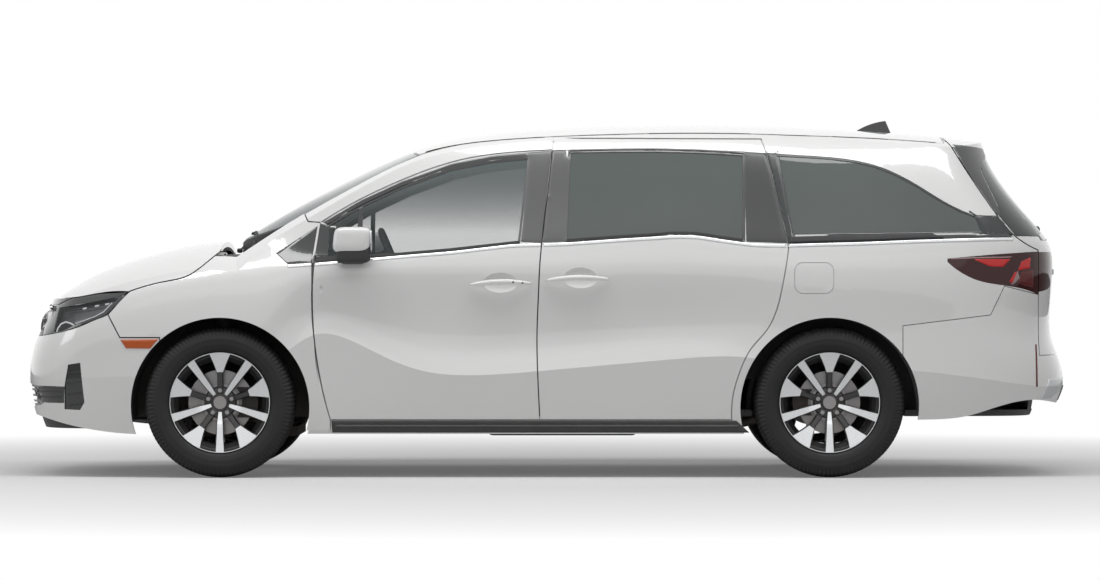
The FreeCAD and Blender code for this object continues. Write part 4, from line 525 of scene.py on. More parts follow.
@dataclass
class Overlay:
    """A thin moulding on the outer skin, between a lower and an upper rail drawn in one view.

    The surface is P(u, v): u runs along both rails, v from the lower to the upper one, and the third coordinate comes
    from the skin. It stands proud by a height that falls to nothing at its rounded edges. A negative lift puts it
    behind a lens.
    """

    name: str
    lower: Points
    upper: Points
    nodes: tuple[str, ...]
    finish: Finish
    body: str = "body"
    slot: str = "black_plastic"
    lift: float = 0.0025
    sink: float = 0.002
    edge: float = 0.0025
    steps: int = 40
    rows: int = 6
    both_sides: bool = True
    view: View = View.SIDE

    def stations(self, length: float, count: int) -> Part:
        """Shares of one direction, doubled at its ends, and the height that the moulding has at each.

        Args:
            length: The direction's length in metres.
            count: Stations between the two rounded edges.

        Returns:
            The shares and the heights: below the skin at the ends, then on the shoulder, then at full lift.
        """
        edge = min(self.edge / max(length, SHORTEST_RAIL), WIDEST_EDGE)
        share = np.concatenate([[0, 0], np.linspace(edge, 1 - edge, count), [1, 1]])
        foot = [-self.sink, self.lift * SHOULDER]
        return share, np.concatenate([foot, np.full(count, self.lift), foot[::-1]])

    def surface(self) -> Part:
        """The left piece's vertices and faces."""
        low, high = np.asarray(self.lower, float), np.asarray(self.upper, float)
        u, rise_u = self.stations(np.hypot(*np.diff(low, axis=0).T).sum(), self.steps)
        v, rise_v = self.stations(np.hypot(*(low.mean(0) - high.mean(0))), self.rows)
        low, high = along_rail(self.lower, u), along_rail(self.upper, u)
        flat = low[:, None] * (1 - v)[None, :, None] + high[:, None] * v[None, :, None]
        first, second, third, sign = self.view.value
        base = np.empty(flat.shape[:2] + (3,))
        base[..., first], base[..., second] = flat[..., 0], flat[..., 1]
        base[..., third] = SkinProbe(self.nodes, self.view).depth(flat[..., 0], flat[..., 1])
        normal = np.pad(grid_normals(base[1:-1, 1:-1]), ((1, 1), (1, 1), (0, 0)), mode="edge")
        normal *= np.sign(sign * normal[..., third:third + 1] + NEARLY_ZERO)
        points = base + normal * np.minimum(rise_u[:, None], rise_v[None, :])[..., None]
        faces = grid_faces(*points.shape[:2])
        lead = np.clip(points.reshape(-1, 3), *(np.asarray(corner, float) for corner in CAD_BOX))
        corner = lead[faces]
        turn = sign * np.cross(corner[:, 1] - corner[:, 0], corner[:, 2] - corner[:, 0])[:, third].sum()
        return lead, faces if turn > 0 else faces[:, ::-1]

    def build(self) -> None:
        """Makes the piece on one or both sides and gives it its body."""
        part = self.surface()
        for side in Side if self.both_sides else (Side.LEFT,):
            name = f"{self.name}_{side.word}" if self.both_sides else self.name
            obj = mesh_piece(name, [on_side(part, side)], self.finish)
            declare(obj, self.body.replace("left", side.word))
        LOG.info("%s: %d faces a side", self.name, len(part[1]))


def swept_bar(path: Array, radii: Array, flat: float = 1.0, steps: int = 12) -> Part:
    """A closed bar of round or flattened section carried along a path.

    Args:
        path: N by 3 points.
        radii: N radii, or one for all.
        flat: The section's height over its width.
        steps: Points round the section.

    Returns:
        Vertices and faces, ends closed to a point.
    """
    path = np.asarray(path, float)
    radii = np.broadcast_to(np.asarray(radii, float), (len(path),))
    along = np.gradient(path, axis=0)
    along /= np.linalg.norm(along, axis=1, keepdims=True)
    helper = np.where(np.abs(along[:, 2:3]) > 0.9, np.array([[0.0, 1.0, 0.0]]), np.array([[0.0, 0.0, 1.0]]))
    sideways = np.cross(along, helper)
    sideways /= np.linalg.norm(sideways, axis=1, keepdims=True)
    upward = np.cross(sideways, along)
    turn = np.linspace(0, 2 * math.pi, steps, endpoint=False)
    cos, sin = np.cos(turn)[None, :, None], np.sin(turn)[None, :, None]
    ring = (sideways[:, None] * cos + upward[:, None] * flat * sin) * radii[:, None, None]
    first, last = (np.broadcast_to(point, (1, steps, 3)) for point in (path[0], path[-1]))
    rings = np.concatenate([first, path[:, None] + ring, last])
    return rings.reshape(-1, 3), grid_faces(len(rings), steps, wrap_columns=True)


BOLSTER_START = 0.55
BOLSTER_SPAN = 0.3
CHANNEL_SHARPNESS = 12


def cushion(size: tuple[float, float, float], roundness: float = 4.0, steps: int = 36, channels: int = 0,
            depth: float = 0.006, bolster: float = 0.0) -> Part:
    """A crowned pad about the origin: a superellipsoid |x|^n + |y|^n + |z|^n = 1, with sewn channels across its top.

    Args:
        size: Its full length, width and height.
        roundness: The exponent n; a higher one is boxier.
        steps: Points round.
        channels: Sewn channels across the top.
        depth: The channels' depth.
        bolster: How far the two sides rise above the middle.

    Returns:
        Vertices and faces.
    """
    lat = np.linspace(-math.pi / 2, math.pi / 2, steps)[:, None]
    lon = np.linspace(-math.pi, math.pi, steps * 2, endpoint=False)[None, :]
    power = 2.0 / roundness

    def curve(value: Array) -> Array:
        """Signed power of a sine or cosine."""
        return np.sign(value) * np.abs(value) ** power

    x = curve(np.cos(lat)) * curve(np.cos(lon)) * size[0] / 2
    y = curve(np.cos(lat)) * curve(np.sin(lon)) * size[1] / 2
    z = curve(np.sin(lat)) * np.ones_like(lon) * size[2] / 2
    top = np.clip(z / (size[2] / 2), 0, 1)
    z = z + bolster * top * np.clip((np.abs(y) / (size[1] / 2) - BOLSTER_START) / BOLSTER_SPAN, 0, 1)
    if channels:
        z = z - depth * top * np.abs(np.cos(x / size[0] * math.pi * channels)) ** CHANNEL_SHARPNESS
    return np.stack([x, y, z], -1).reshape(-1, 3), grid_faces(steps, steps * 2, wrap_columns=True)


def placed(part: Part, at: tuple[float, float, float], pitch: float = 0.0) -> Part:
    """A part turned about the cross-car axis by an angle and moved to a place."""
    points, faces = part
    c, s = math.cos(pitch), math.sin(pitch)
    x, y, z = points.T
    return np.stack([at[0] + c * x + s * z, at[1] + y, at[2] - s * x + c * z], -1), faces


def declare(obj: bpy.types.Object, body: str) -> bpy.types.Object:
    """Gives a finished piece its body."""
    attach(obj, body)
    return obj


# Wheels


@dataclass
class Wheel:
    """A tyre with its tread and the two-tone ten-spoke alloy wheel, in metres.

    Fields give the tread's radius, half width and fall towards its edges, where its ring grooves run and half their
    width, how deep it is cut, how many slanted ribs it has, how much they slant and the radius that they start from,
    the rim's radius, how far the spokes' faces stand outward, and the circle that the nuts are on.
    """

    end: str
    side: Side
    tread_radius: float = 0.3695
    tread_half: float = 0.076
    tread_fall: float = 0.0028
    grooves: tuple[float, float] = (0.016, 0.047)
    groove_half: float = 0.0045
    cut: float = 0.007
    ribs: int = 108
    rib_slant: float = 60
    rib_foot: float = 0.326
    rim: float = 0.247
    face: float = 0.088
    nut_circle: float = 0.060
    spokes: int = 5

    @property
    def label(self) -> str:
        """The words for this wheel in node and piece names."""
        return f"{self.end}_{self.side.word}"

    @property
    def centre(self) -> tuple[float, float, float]:
        """The wheel's centre in the frame."""
        low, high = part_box(f"rim_{self.label}")
        return tuple((low + high) / 2)

    @property
    def body(self) -> str:
        """The CAD body the wheel turns with."""
        return f"wheel_{self.label}"

    def tyre(self) -> None:
        """The tyre, which replaces the CAD one: a section turned about the axle.

        Ring grooves run round the tread. Slanted ribs repeat as cos(ribs * angle + slant * outward), on the shoulders
        and outer tread only, and two raised lines run round the sidewall.
        """
        section = [(0.231, -0.092), (0.249, -0.096), (0.262, -0.108), (0.285, -0.1165), (0.312, -0.1165),
                   (0.332, -0.112), (0.348, -0.105),
                   (0.3615, -0.093), (0.3665, -0.078)]
        shoulder = along_rail(section, np.linspace(0, 1, 26))
        across = np.linspace(-self.tread_half, self.tread_half, 41)
        tread = np.stack([self.tread_radius - self.tread_fall * (np.abs(across) / self.tread_half) ** 3, across], -1)
        profile = np.concatenate([shoulder, tread, shoulder[::-1] * (1, -1)])
        r, out = profile[None, :, 0], profile[None, :, 1]
        steps = self.ribs * 4
        turn = np.linspace(0, 2 * math.pi, steps, endpoint=False)[:, None]
        groove = sum(np.clip(1 - np.abs(np.abs(out) - at) / self.groove_half, 0, 1) for at in self.grooves) * self.cut
        slant = turn * self.ribs + out * self.rib_slant
        notch = (np.clip(np.cos(slant) * 3 - 0.9, 0, 1) * np.clip((r - self.rib_foot) / 0.012, 0, 1)
                 * np.clip((np.abs(out) - 0.030) / 0.02, 0, 1) * self.cut)
        line = sum(rise * np.exp(-((r - at) / half) ** 2) for at, rise,
                   half in ((0.262, 0.0016, 0.002), (0.314, 0.0018, 0.0025)))
        down = groove * (np.abs(out) < 0.074) + notch
        sideways = 0.7 * np.clip((np.abs(out) - 0.07) / 0.04, 0, 1)
        radius = r - down * (1 - sideways)
        outward = out - np.sign(out) * (down * sideways - line)
        c = self.centre
        grid = np.stack([c[0] + radius * np.cos(turn), c[1] - self.side.value * outward, c[2] + radius * np.sin(turn)],
                        -1)
        grid[..., 2] = np.maximum(grid[..., 2], 0.0)
        faces = grid_faces(steps, len(profile), wrap_rows=True, wrap_columns=True)
        obj = mesh_piece(f"tyre_tread_{self.label}", [(grid.reshape(-1, 3),
                                                       faces[:, ::-1] if self.side is Side.LEFT else faces)],
                         TYRE_RUBBER)
        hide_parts(f"tyre_{self.label}")
        declare(obj, self.body)

    def spoke(self, angle: float, radii: Sequence[float], widths: Sequence[float], heights: Sequence[float],
              thick: float) -> tuple[Array, Array, Array]:
        """A bar from hub to rim: width and face height change with radius, with small bevels along its edges.

        Args:
            angle: Its direction in the side view, in degrees.
            radii: Stations along the radius.
            widths: Full widths there.
            heights: How far the face stands outward there.
            thick: The bar's depth behind its face.

        Returns:
            Vertices, faces and a mask of the faces on its machined front.
        """
        a = math.radians(angle)
        fine = np.linspace(0, 1, 14)
        r, w, h = (np.interp(fine, np.linspace(0, 1, len(v)), v) for v in (radii, widths, heights))
        bevel, draft = 0.0016, 0.004
        across = np.stack([-w / 2 - draft, -w / 2, -w / 2 + bevel, w / 2 - bevel, w / 2, w / 2 + draft], 1)
        outward = np.stack([h - thick, h - bevel, h, h, h - bevel, h - thick], 1)
        c = self.centre
        x = c[0] + r[:, None] * math.cos(a) - across * math.sin(a)
        z = c[2] + r[:, None] * math.sin(a) + across * math.cos(a)
        y = c[1] - self.side.value * outward
        sides = grid_faces(len(fine), 6, wrap_columns=True)
        ends = np.array([[0, 1, 4, 5], [1, 2, 3, 4]])
        faces = np.concatenate([sides, ends, ends[:, ::-1] + (len(fine) - 1) * 6])
        front = np.arange(len(faces)) % 6 == 2
        front[len(sides):] = False
        return np.stack([x, y, z], -1).reshape(-1, 3), faces if self.side is Side.LEFT else faces[:, ::-1], front

    def alloy(self) -> None:
        """The alloy wheel, which replaces the CAD rim: barrel, bright edge, long and short spokes, dished hub."""
        c, f = self.centre, self.face
        parts, fronts = [], []

        def ring(profile: Points, front: bool = False, steps: int = 128, closed: bool = False) -> None:
            """Adds a turned ring, machined or not."""
            part = revolved(profile, steps, c, self.side, closed)
            parts.append(part)
            fronts.append(np.full(len(part[1]), front))

        ring([(self.rim, 0.1015), (0.2475, 0.099), (0.2475, 0.0935), (0.229, 0.0885), (0.229, 0.062), (0.210, 0.050),
              (0.210, -0.050), (0.229, -0.063),
              (0.229, -0.0895), (self.rim, -0.0935), (self.rim, -0.1015), (0.239, -0.1015), (0.221, -0.0875),
              (0.221, -0.0655), (0.204, -0.052), (0.204, 0.046),
              (0.214, 0.060), (0.238, f - 0.006), (0.2425, f + 0.004), (0.2440, 0.1005)], closed=True)
        ring([(0.2412, f + 0.002), (0.2420, 0.0985), (0.2434, 0.1017), (0.2464, 0.1017), (0.2464, 0.0995),
              (0.2420, 0.088)], True, closed=True)
        for k in range(self.spokes):
            turn = 360 / self.spokes * k
            for angle, radii, widths, heights, thick, machined in (
                    (54, (0.046, 0.100, 0.170, 0.2425), (0.019, 0.029, 0.034, 0.043),
                     (f - 0.020, f, f + 0.004, f + 0.008), 0.032, True),
                    (90, (0.150, 0.180, 0.210, 0.2425), (0.033, 0.054, 0.079, 0.109),
                     (f - 0.001, f + 0.002, f + 0.005, f + 0.008), 0.030, True),
                    (90, (0.040, 0.075, 0.120, 0.200), (0.030, 0.026, 0.022, 0.032),
                     (f - 0.034, f - 0.026, f - 0.018, f - 0.010), 0.020, False)):
                points, faces, front = self.spoke(angle + turn, radii, widths, heights, thick)
                parts.append((points, faces))
                fronts.append(front & machined)
        ring([(0.0, f - 0.034), (0.050, f - 0.034), (0.074, f - 0.036), (0.080, f - 0.046), (0.078, 0.0455),
              (0.030, 0.0455), (0.0, 0.0455)])
        ring([(0.0, f - 0.018), (0.022, f - 0.018), (0.0268, f - 0.0195), (0.029, f - 0.023), (0.030, f - 0.034)],
             steps=48)
        obj = mesh_piece(f"alloy_wheel_{self.label}", parts, WHEEL_BLACK)
        obj.data.materials.append(MACHINED.material())
        obj.data.polygons.foreach_set("material_index", np.concatenate(fronts).astype(int))
        corners = np.empty(len(obj.data.loops), int)
        obj.data.loops.foreach_get("vertex_index", corners)
        flat = merged(*parts)[0][corners] - np.array(c)
        layer = obj.data.uv_layers.new(name="turning")
        layer.data.foreach_set("uv", np.stack([np.arctan2(flat[:, 2], flat[:, 0]),
                                               np.hypot(flat[:, 0], flat[:, 2]) * 10], -1).ravel())
        obj.data.set_sharp_from_angle(angle=math.radians(28))
        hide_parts(f"rim_{self.label}")
        declare(obj, self.body)

    def nuts(self) -> None:
        """Five domed nuts on their circle."""
        x, y, z = self.centre
        f = self.face
        dome = [(0.0, f - 0.012), (0.006, f - 0.013), (0.0095, f - 0.017), (0.0105, f - 0.022), (0.0105, f - 0.034)]
        angles = [math.radians(90 + 72 * k) for k in range(5)]
        places = [(x + self.nut_circle * math.cos(a), y, z + self.nut_circle * math.sin(a)) for a in angles]
        obj = mesh_piece(f"wheel_nuts_{self.label}", [revolved(dome, 12, place, self.side) for place in places], CHROME)
        declare(obj, self.body)

    def build(self) -> None:
        """Makes the wheel's pieces."""
        self.tyre()
        self.alloy()
        self.nuts()
        LOG.info("wheel %s", self.label)


# Side trim

BELT = [(-1.277, 1.050), (-1.147, 1.057), (-0.717, 1.095), (-0.467, 1.115), (-0.167, 1.150), (0.033, 1.155),
        (0.133, 1.160), (0.383, 1.178), (0.533, 1.187), (0.633, 1.195), (0.733, 1.193), (0.833, 1.178), (0.933, 1.163),
        (1.033, 1.152), (1.133, 1.150), (1.183, 1.150), (1.333, 1.155), (1.533, 1.160), (1.833, 1.172), (2.033, 1.178),
        (2.283, 1.185)]


def cut_rail(rail: Points, x0: float, x1: float, rise: float = 0.0, count: int = 24) -> list[tuple[float, float]]:
    """The stretch of a rail between two stations, raised by a distance."""
    corners = np.asarray(rail)
    x = np.linspace(x0, x1, count)
    return list(zip(x.tolist(), (np.interp(x, corners[:, 0], corners[:, 1]) + rise).tolist()))


@dataclass
class SideTrim:
    """Bright belt line, pillar and window covers, rail cover, sill trim, handles and markers of both sides."""

    belt_height: float = 0.017
    handle_gap: float = 0.007
    handle_bow: float = 0.024
    handle_radius: float = 0.014
    front: tuple[str, ...] = ("front_door_left", "front_door_glass_left")
    sliding: tuple[str, ...] = ("sliding_door_left", "sliding_door_glass")
    rear: tuple[str, ...] = ("body_side_left", "quarter_glass")

    def belt(self) -> None:
        """The bright strip along the foot of the windows, one piece for each panel it lies on."""
        for name, body, nodes, x0, x1 in (("belt_strip_fender", "body", ("front_fenders",), -1.272, -1.150),
                                          ("belt_strip_door", "front_door_left", self.front, -1.136, -0.028),
                                          ("belt_strip_slider", "body", self.sliding, -0.014, 1.176),
                                          ("belt_strip_quarter", "body", self.rear, 1.190, 2.303)):
            Overlay(name, cut_rail(BELT, x0, x1, -self.belt_height), cut_rail(BELT, x0, x1), nodes, CHROME, body=body,
                    slot="steel", lift=0.004, edge=0.004, steps=60, rows=4).build()

    def pillars(self) -> None:
        """Black covers on the window pillars and along the window heads."""
        def cover(name: str, lower: Points, upper: Points, nodes: tuple[str, ...],
                  finish: Finish = GLOSS_BLACK) -> None:
            """One cover on the front door or the body, whose turned edges reach down past the panel's own."""
            body = "front_door_left" if nodes is self.front else "body"
            Overlay(name, lower, upper, nodes, finish, body=body, lift=0.002, sink=0.012, edge=0.002, steps=36,
                    rows=8).build()

        cover("pillar_cover_front", [(-0.136, 1.160), (-0.125, 1.254), (-0.091, 1.606)],
              [(-0.0240, 1.156), (-0.0145, 1.250), (0.0266, 1.614)], self.front, PILLAR_GREY)
        cover("pillar_cover_slider", [(-0.0188, 1.158), (-0.0096, 1.250), (0.0320, 1.618)],
              [(0.101, 1.161), (0.105, 1.255), (0.123, 1.619)], self.sliding, PILLAR_GREY)
        cover("pillar_cover_slider_rear", [(0.963, 1.162), (0.964, 1.190), (0.970, 1.490), (0.973, 1.610)],
              [(1.1844, 1.154), (1.1806, 1.180), (1.1156, 1.490), (1.0868, 1.602)], self.sliding, PILLAR_DARK)
        # Partly a real seal, partly painted shade: a black strip set back in the gap hides the lit door edges so the
        # gap reads dark.
        Overlay("pillar_gap_rubber", [(-0.040, 0.300), (-0.048, 0.500), (-0.0515, 0.707), (-0.0445, 0.900),
                                      (-0.0375, 1.050), (-0.0175, 1.250), (0.0240, 1.616)],
                [(-0.024, 0.300), (-0.034, 0.500), (-0.0385, 0.707), (-0.0325, 0.900), (-0.0265, 1.050),
                 (-0.0065, 1.250), (0.0360, 1.616)], self.sliding + self.front, SEAL_RUBBER, slot="rubber", lift=-0.009,
                sink=0.009, edge=0.001, steps=60, rows=3).build()
        cover("window_head_slider", [(0.118, 1.601), (0.333, 1.604), (0.533, 1.605), (0.733, 1.600), (0.980, 1.586)],
              [(0.118, 1.620), (0.333, 1.625), (0.533, 1.627), (0.733, 1.622), (0.980, 1.610)], self.sliding)
        cover("window_foot_slider", cut_rail(BELT, 0.096, 0.968, 0.001), cut_rail(BELT, 0.096, 0.968, 0.017),
              self.sliding, SEAL_RUBBER)
        cover("window_head_front", [(-1.070, 1.239), (-0.917, 1.328), (-0.717, 1.422), (-0.467, 1.514), (-0.267, 1.553),
                                    (-0.090, 1.570)],
              [(-1.100, 1.258), (-0.917, 1.366), (-0.717, 1.460), (-0.467, 1.551), (-0.267, 1.590), (-0.090, 1.606)],
              self.front)
        cover("window_foot_front", cut_rail(BELT, -1.136, -0.132, 0.001),
              [(-1.136, 1.088), (-0.717, 1.108), (-0.467, 1.130), (-0.132, 1.167)], self.front, SEAL_RUBBER)
        cover("window_front_corner", [(-1.140, 1.090), (-1.114, 1.252)], [(-1.076, 1.090), (-1.068, 1.242)], self.front)
        cover("window_divider", [(-0.935, 1.098), (-0.928, 1.325)], [(-0.910, 1.100), (-0.904, 1.337)], self.front)
        cover("fender_corner", [(-1.272, 1.052), (-1.155, 1.059)], [(-1.332, 1.105), (-1.128, 1.240)],
              ("front_fenders",))
        cover("quarter_head", [(1.092, 1.588), (1.383, 1.572), (1.533, 1.553), (1.633, 1.528), (1.733, 1.486),
                               (1.833, 1.430), (1.933, 1.366), (2.033, 1.312), (2.120, 1.280), (2.200, 1.276)],
              [(1.092, 1.604), (1.383, 1.583), (1.533, 1.567), (1.633, 1.541), (1.733, 1.498), (1.833, 1.440),
               (1.933, 1.375), (2.033, 1.320), (2.133, 1.292), (2.226, 1.292)], self.rear, PRIVACY_TRIM)
        cover("quarter_front", [(1.1905, 1.153), (1.1862, 1.180), (1.1212, 1.490), (1.0925, 1.602)],
              [(1.224, 1.153), (1.219, 1.180), (1.168, 1.490), (1.152, 1.602)], self.rear, PRIVACY_TRIM)
        cover("quarter_foot", cut_rail(BELT, 1.222, 2.296, 0.001), [(1.222, 1.201), (2.150, 1.213), (2.300, 1.206)],
              self.rear)
        cover("quarter_rear", [(2.146, 1.200), (2.114, 1.284)], [(2.306, 1.198), (2.229, 1.291)], self.rear,
              PRIVACY_TRIM)

    def track(self) -> None:
        """The cover of the sliding door's rail, above the belt line on the rear quarter."""
        Overlay("slide_rail_cover", cut_rail(BELT, 1.192, 1.958, 0.003),
                [(1.192, 1.184), (1.400, 1.190), (1.700, 1.198), (1.880, 1.199), (1.925, 1.192), (1.958, 1.180)],
                self.rear, SATIN_BLACK, lift=0.010, edge=0.006, steps=40).build()

    def sill(self) -> None:
        """Black sill moulding with its lighter strip."""
        nodes = ("body_side_left",)
        Overlay("sill_trim", [(-1.055, 0.222), (1.000, 0.222)], [(-1.058, 0.281), (0.935, 0.281)], nodes, SATIN_BLACK,
                lift=0.006, edge=0.006, steps=40).build()
        Overlay("sill_strip", [(-1.040, 0.250), (0.950, 0.250)], [(-1.040, 0.262), (0.950, 0.262)], nodes, FIN_GREY,
                slot="steel", lift=0.009, edge=0.003, steps=40, rows=3).build()

    def handles(self) -> None:
        """Pull handles: a bar over the panel's dished hollow, with a keyhole and a touch spot on the front door."""
        for name, body, node, x0, x1, z0, z1 in (
                ("handle_front", "front_door_left", "front_door_left", -0.375, -0.075, 0.928, 0.975),
                ("handle_slider", "body", "sliding_door_left", 0.000, 0.306, 0.950, 0.995)):
            u = np.linspace(0, 1, 30)
            x = x0 + (x1 - x0) * u
            z = z0 + (z1 - z0) * (0.45 + 0.25 * np.sin(math.pi * u)) + 0.006 * u
            skin = SkinProbe((node,)).depth(x, z)
            y = np.interp(u, [0, 1], skin[[0, -1]]) - self.handle_gap - self.handle_bow * np.sin(math.pi * u) ** 0.5
            radius = self.handle_radius * (np.sin(math.pi * (0.03 + 0.94 * u)) ** 0.35)
            bar = swept_bar(np.stack([x, y, z], -1), radius, steps=20)
            dome = [(0.0, 0.0022), (0.0045, 0.0018), (0.0058, -0.004)]
            keys = [revolved(dome, 20, (at, np.interp(at, x, y - radius), np.interp(at, x, z)), Side.LEFT)
                    for at in ((-0.163, -0.117) if node.startswith("front") else ())]
            for side in Side:
                home = body.replace("left", side.word)
                declare(mesh_piece(f"{name}_{side.word}", [on_side(bar, side)], PAINT), home)
                if keys:
                    dots = mesh_piece(f"{name}_lock_{side.word}", [on_side(key, side) for key in keys], GLOSS_BLACK)
                    declare(dots, home)

    def markers(self) -> None:
        """Amber marker ahead of the front wheel and the upright red reflector of the rear bumper."""
        Overlay("side_marker", [(-2.066, 0.637), (-1.946, 0.636)], [(-2.094, 0.679), (-1.906, 0.683)],
                ("front_bumper", "front_fenders"), AMBER, slot="lamp", lift=0.004, edge=0.004, steps=20).build()
        Overlay("rear_reflector", [(2.418, 0.446), (2.426, 0.446)], [(2.417, 0.655), (2.424, 0.655)], ("rear_bumper",),
                RED_DARK, slot="red_lamp", lift=0.004, edge=0.002, steps=6, rows=24).build()

    def build(self) -> None:
        """Makes all the side trim."""
        self.belt()
        self.pillars()
        self.track()
        self.sill()
        self.handles()
        self.markers()


@dataclass
class Nose:
    """Insides and frames of the headlamps, screens behind the grilles, the intake's corners and the wipers."""

    lamp: tuple[str, ...] = ("headlamps",)
    bumper: tuple[str, ...] = ("front_bumper", "grille")

    def headlamps(self) -> None:
        """Bowl, light strip and round projector behind the lens, and the black brows and borders round it."""
        brow = [(-2.455, 0.846), (-2.417, 0.849), (-2.347, 0.881), (-2.200, 0.904), (-2.062, 0.912)]
        foot = [(-2.440, 0.707), (-2.383, 0.716), (-2.322, 0.742), (-2.217, 0.779), (-2.165, 0.803), (-2.118, 0.852),
                (-2.075, 0.896)]
        foot_inner = [(-2.437, 0.713), (-2.388, 0.722), (-2.322, 0.753), (-2.222, 0.790), (-2.177, 0.812),
                      (-2.132, 0.858), (-2.085, 0.899)]
        arc = [(-2.420, 0.713), (-2.413, 0.735), (-2.398, 0.754), (-2.375, 0.763), (-2.352, 0.758), (-2.335, 0.749),
               (-2.326, 0.742)]
        arc_outer = [(-2.427, 0.713), (-2.419, 0.740), (-2.402, 0.761), (-2.375, 0.771), (-2.349, 0.765),
                     (-2.329, 0.755), (-2.318, 0.746)]
        for name, low, high, finish, lift, slot in (
                ("lamp_bowl", foot, brow, BOWL, -0.022, "lamp"),
                ("lamp_brow", [(-2.455, 0.829), (-2.409, 0.836), (-2.303, 0.851), (-2.209, 0.869), (-2.100, 0.893),
                               (-2.070, 0.908)], brow, GLOSS_BLACK, 0.001, "black_plastic"),
                ("lamp_border", foot, foot_inner, GLOSS_BLACK, 0.001, "black_plastic"),
                ("lamp_border_line", [(-2.322, 0.756), (-2.222, 0.793), (-2.180, 0.815), (-2.136, 0.861)],
                 [(-2.324, 0.761), (-2.224, 0.798), (-2.183, 0.820), (-2.140, 0.865)], REFLECTOR, -0.004, "steel"),
                ("lamp_light_strip", [(-2.385, 0.817), (-2.279, 0.831), (-2.216, 0.843), (-2.160, 0.852)],
                 [(-2.385, 0.822), (-2.279, 0.836), (-2.216, 0.848), (-2.160, 0.857)], BEZEL, -0.006, "black_plastic"),
                ("lamp_projector", [(-2.420, 0.710), (-2.383, 0.719), (-2.326, 0.741)], arc, BEZEL, -0.003,
                 "black_plastic"),
                ("lamp_projector_ring", arc, arc_outer, GLOW, -0.002, "lamp")):
            Overlay(name, low, high, self.lamp, finish, slot=slot, lift=lift, sink=max(0.001, -lift), edge=0.001,
                    steps=36, rows=5).build()
        for name, low, high, nodes in (
                ("lamp_inner_edge", [(-2.540, 0.692), (-2.436, 0.709)], [(-2.505, 0.838), (-2.412, 0.844)],
                 self.lamp + ("grille",)),
                ("nose_brow", [(-2.510, 0.846), (-2.417, 0.852), (-2.347, 0.8825)],
                 [(-2.480, 0.878), (-2.400, 0.883), (-2.345, 0.886)], ("front_bumper",))):
            Overlay(name, low, high, nodes, GLOSS_BLACK, lift=0.0015, sink=0.006, edge=0.002, steps=24, rows=6).build()
        for name, low, high, both, nodes in (
                ("grille_brow", [(-0.620, 0.846), (0.0, 0.846), (0.620, 0.846)],
                 [(-0.600, 0.868), (0.0, 0.872), (0.600, 0.868)], False, ("front_bumper",)),
                ("intake_end", [(-0.772, 0.372), (-0.690, 0.352)], [(-0.772, 0.448), (-0.690, 0.454)], True,
                 self.bumper)):
            Overlay(name, low, high, nodes, GLOSS_BLACK, lift=0.0015, sink=0.006, edge=0.002, steps=60, rows=6,
                    both_sides=both, view=View.FRONT).build()
        for number, (x, z) in enumerate(((-2.279, 0.834), (-2.216, 0.8466), (-2.1645, 0.8555))):
            Overlay(f"lamp_light_{number}", [(x - 0.010, z - 0.005), (x + 0.010, z - 0.002)],
                    [(x - 0.008, z + 0.003), (x + 0.012, z + 0.006)], self.lamp, GLOW, slot="lamp", lift=-0.003,
                    sink=0.003, edge=0.001, steps=5, rows=3).build()

    def screens(self) -> None:
        """Dark screens across the openings of the two grilles, a little behind their bars."""
        for name, low, high in (
                ("grille_screen", [(-0.500, 0.680), (-0.300, 0.668), (0.0, 0.664), (0.300, 0.668), (0.500, 0.680)],
                 [(-0.505, 0.822), (-0.300, 0.834), (0.0, 0.838), (0.300, 0.834), (0.505, 0.822)]),
                ("intake_screen", [(-0.700, 0.356), (-0.400, 0.342), (0.0, 0.338), (0.400, 0.342), (0.700, 0.356)],
                 [(-0.700, 0.450), (-0.400, 0.460), (0.0, 0.462), (0.400, 0.460), (0.700, 0.450)])):
            Overlay(name, low, high, self.bumper, SATIN_BLACK, lift=-0.014, sink=0.014, both_sides=False,
                    view=View.FRONT).build()

    def intake_corner(self) -> None:
        """The intake's black corner, which runs back to the upright vent, with its slats."""
        Overlay("intake_corner", [(-2.534, 0.376), (-2.480, 0.366), (-2.382, 0.366)],
                [(-2.545, 0.452), (-2.480, 0.450), (-2.377, 0.448)], self.bumper, GLOSS_BLACK, lift=0.0015, edge=0.002,
                steps=30).build()
        for number, z in enumerate((0.392, 0.420)):
            Overlay(f"intake_slat_{number}", [(-2.525, z), (-2.395, z)], [(-2.525, z + 0.006), (-2.395, z + 0.006)],
                    self.bumper, SATIN_BLACK, lift=0.005, edge=0.002, steps=20, rows=3).build()
        for number, z in enumerate((0.355, 0.410, 0.465, 0.515)):
            Overlay(f"vent_slat_{number}", [(-2.362, z - 0.004), (-2.292, z + 0.004)],
                    [(-2.362, z + 0.002), (-2.292, z + 0.010)], ("grille",), SATIN_BLACK, lift=0.006, edge=0.002,
                    steps=12, rows=3).build()

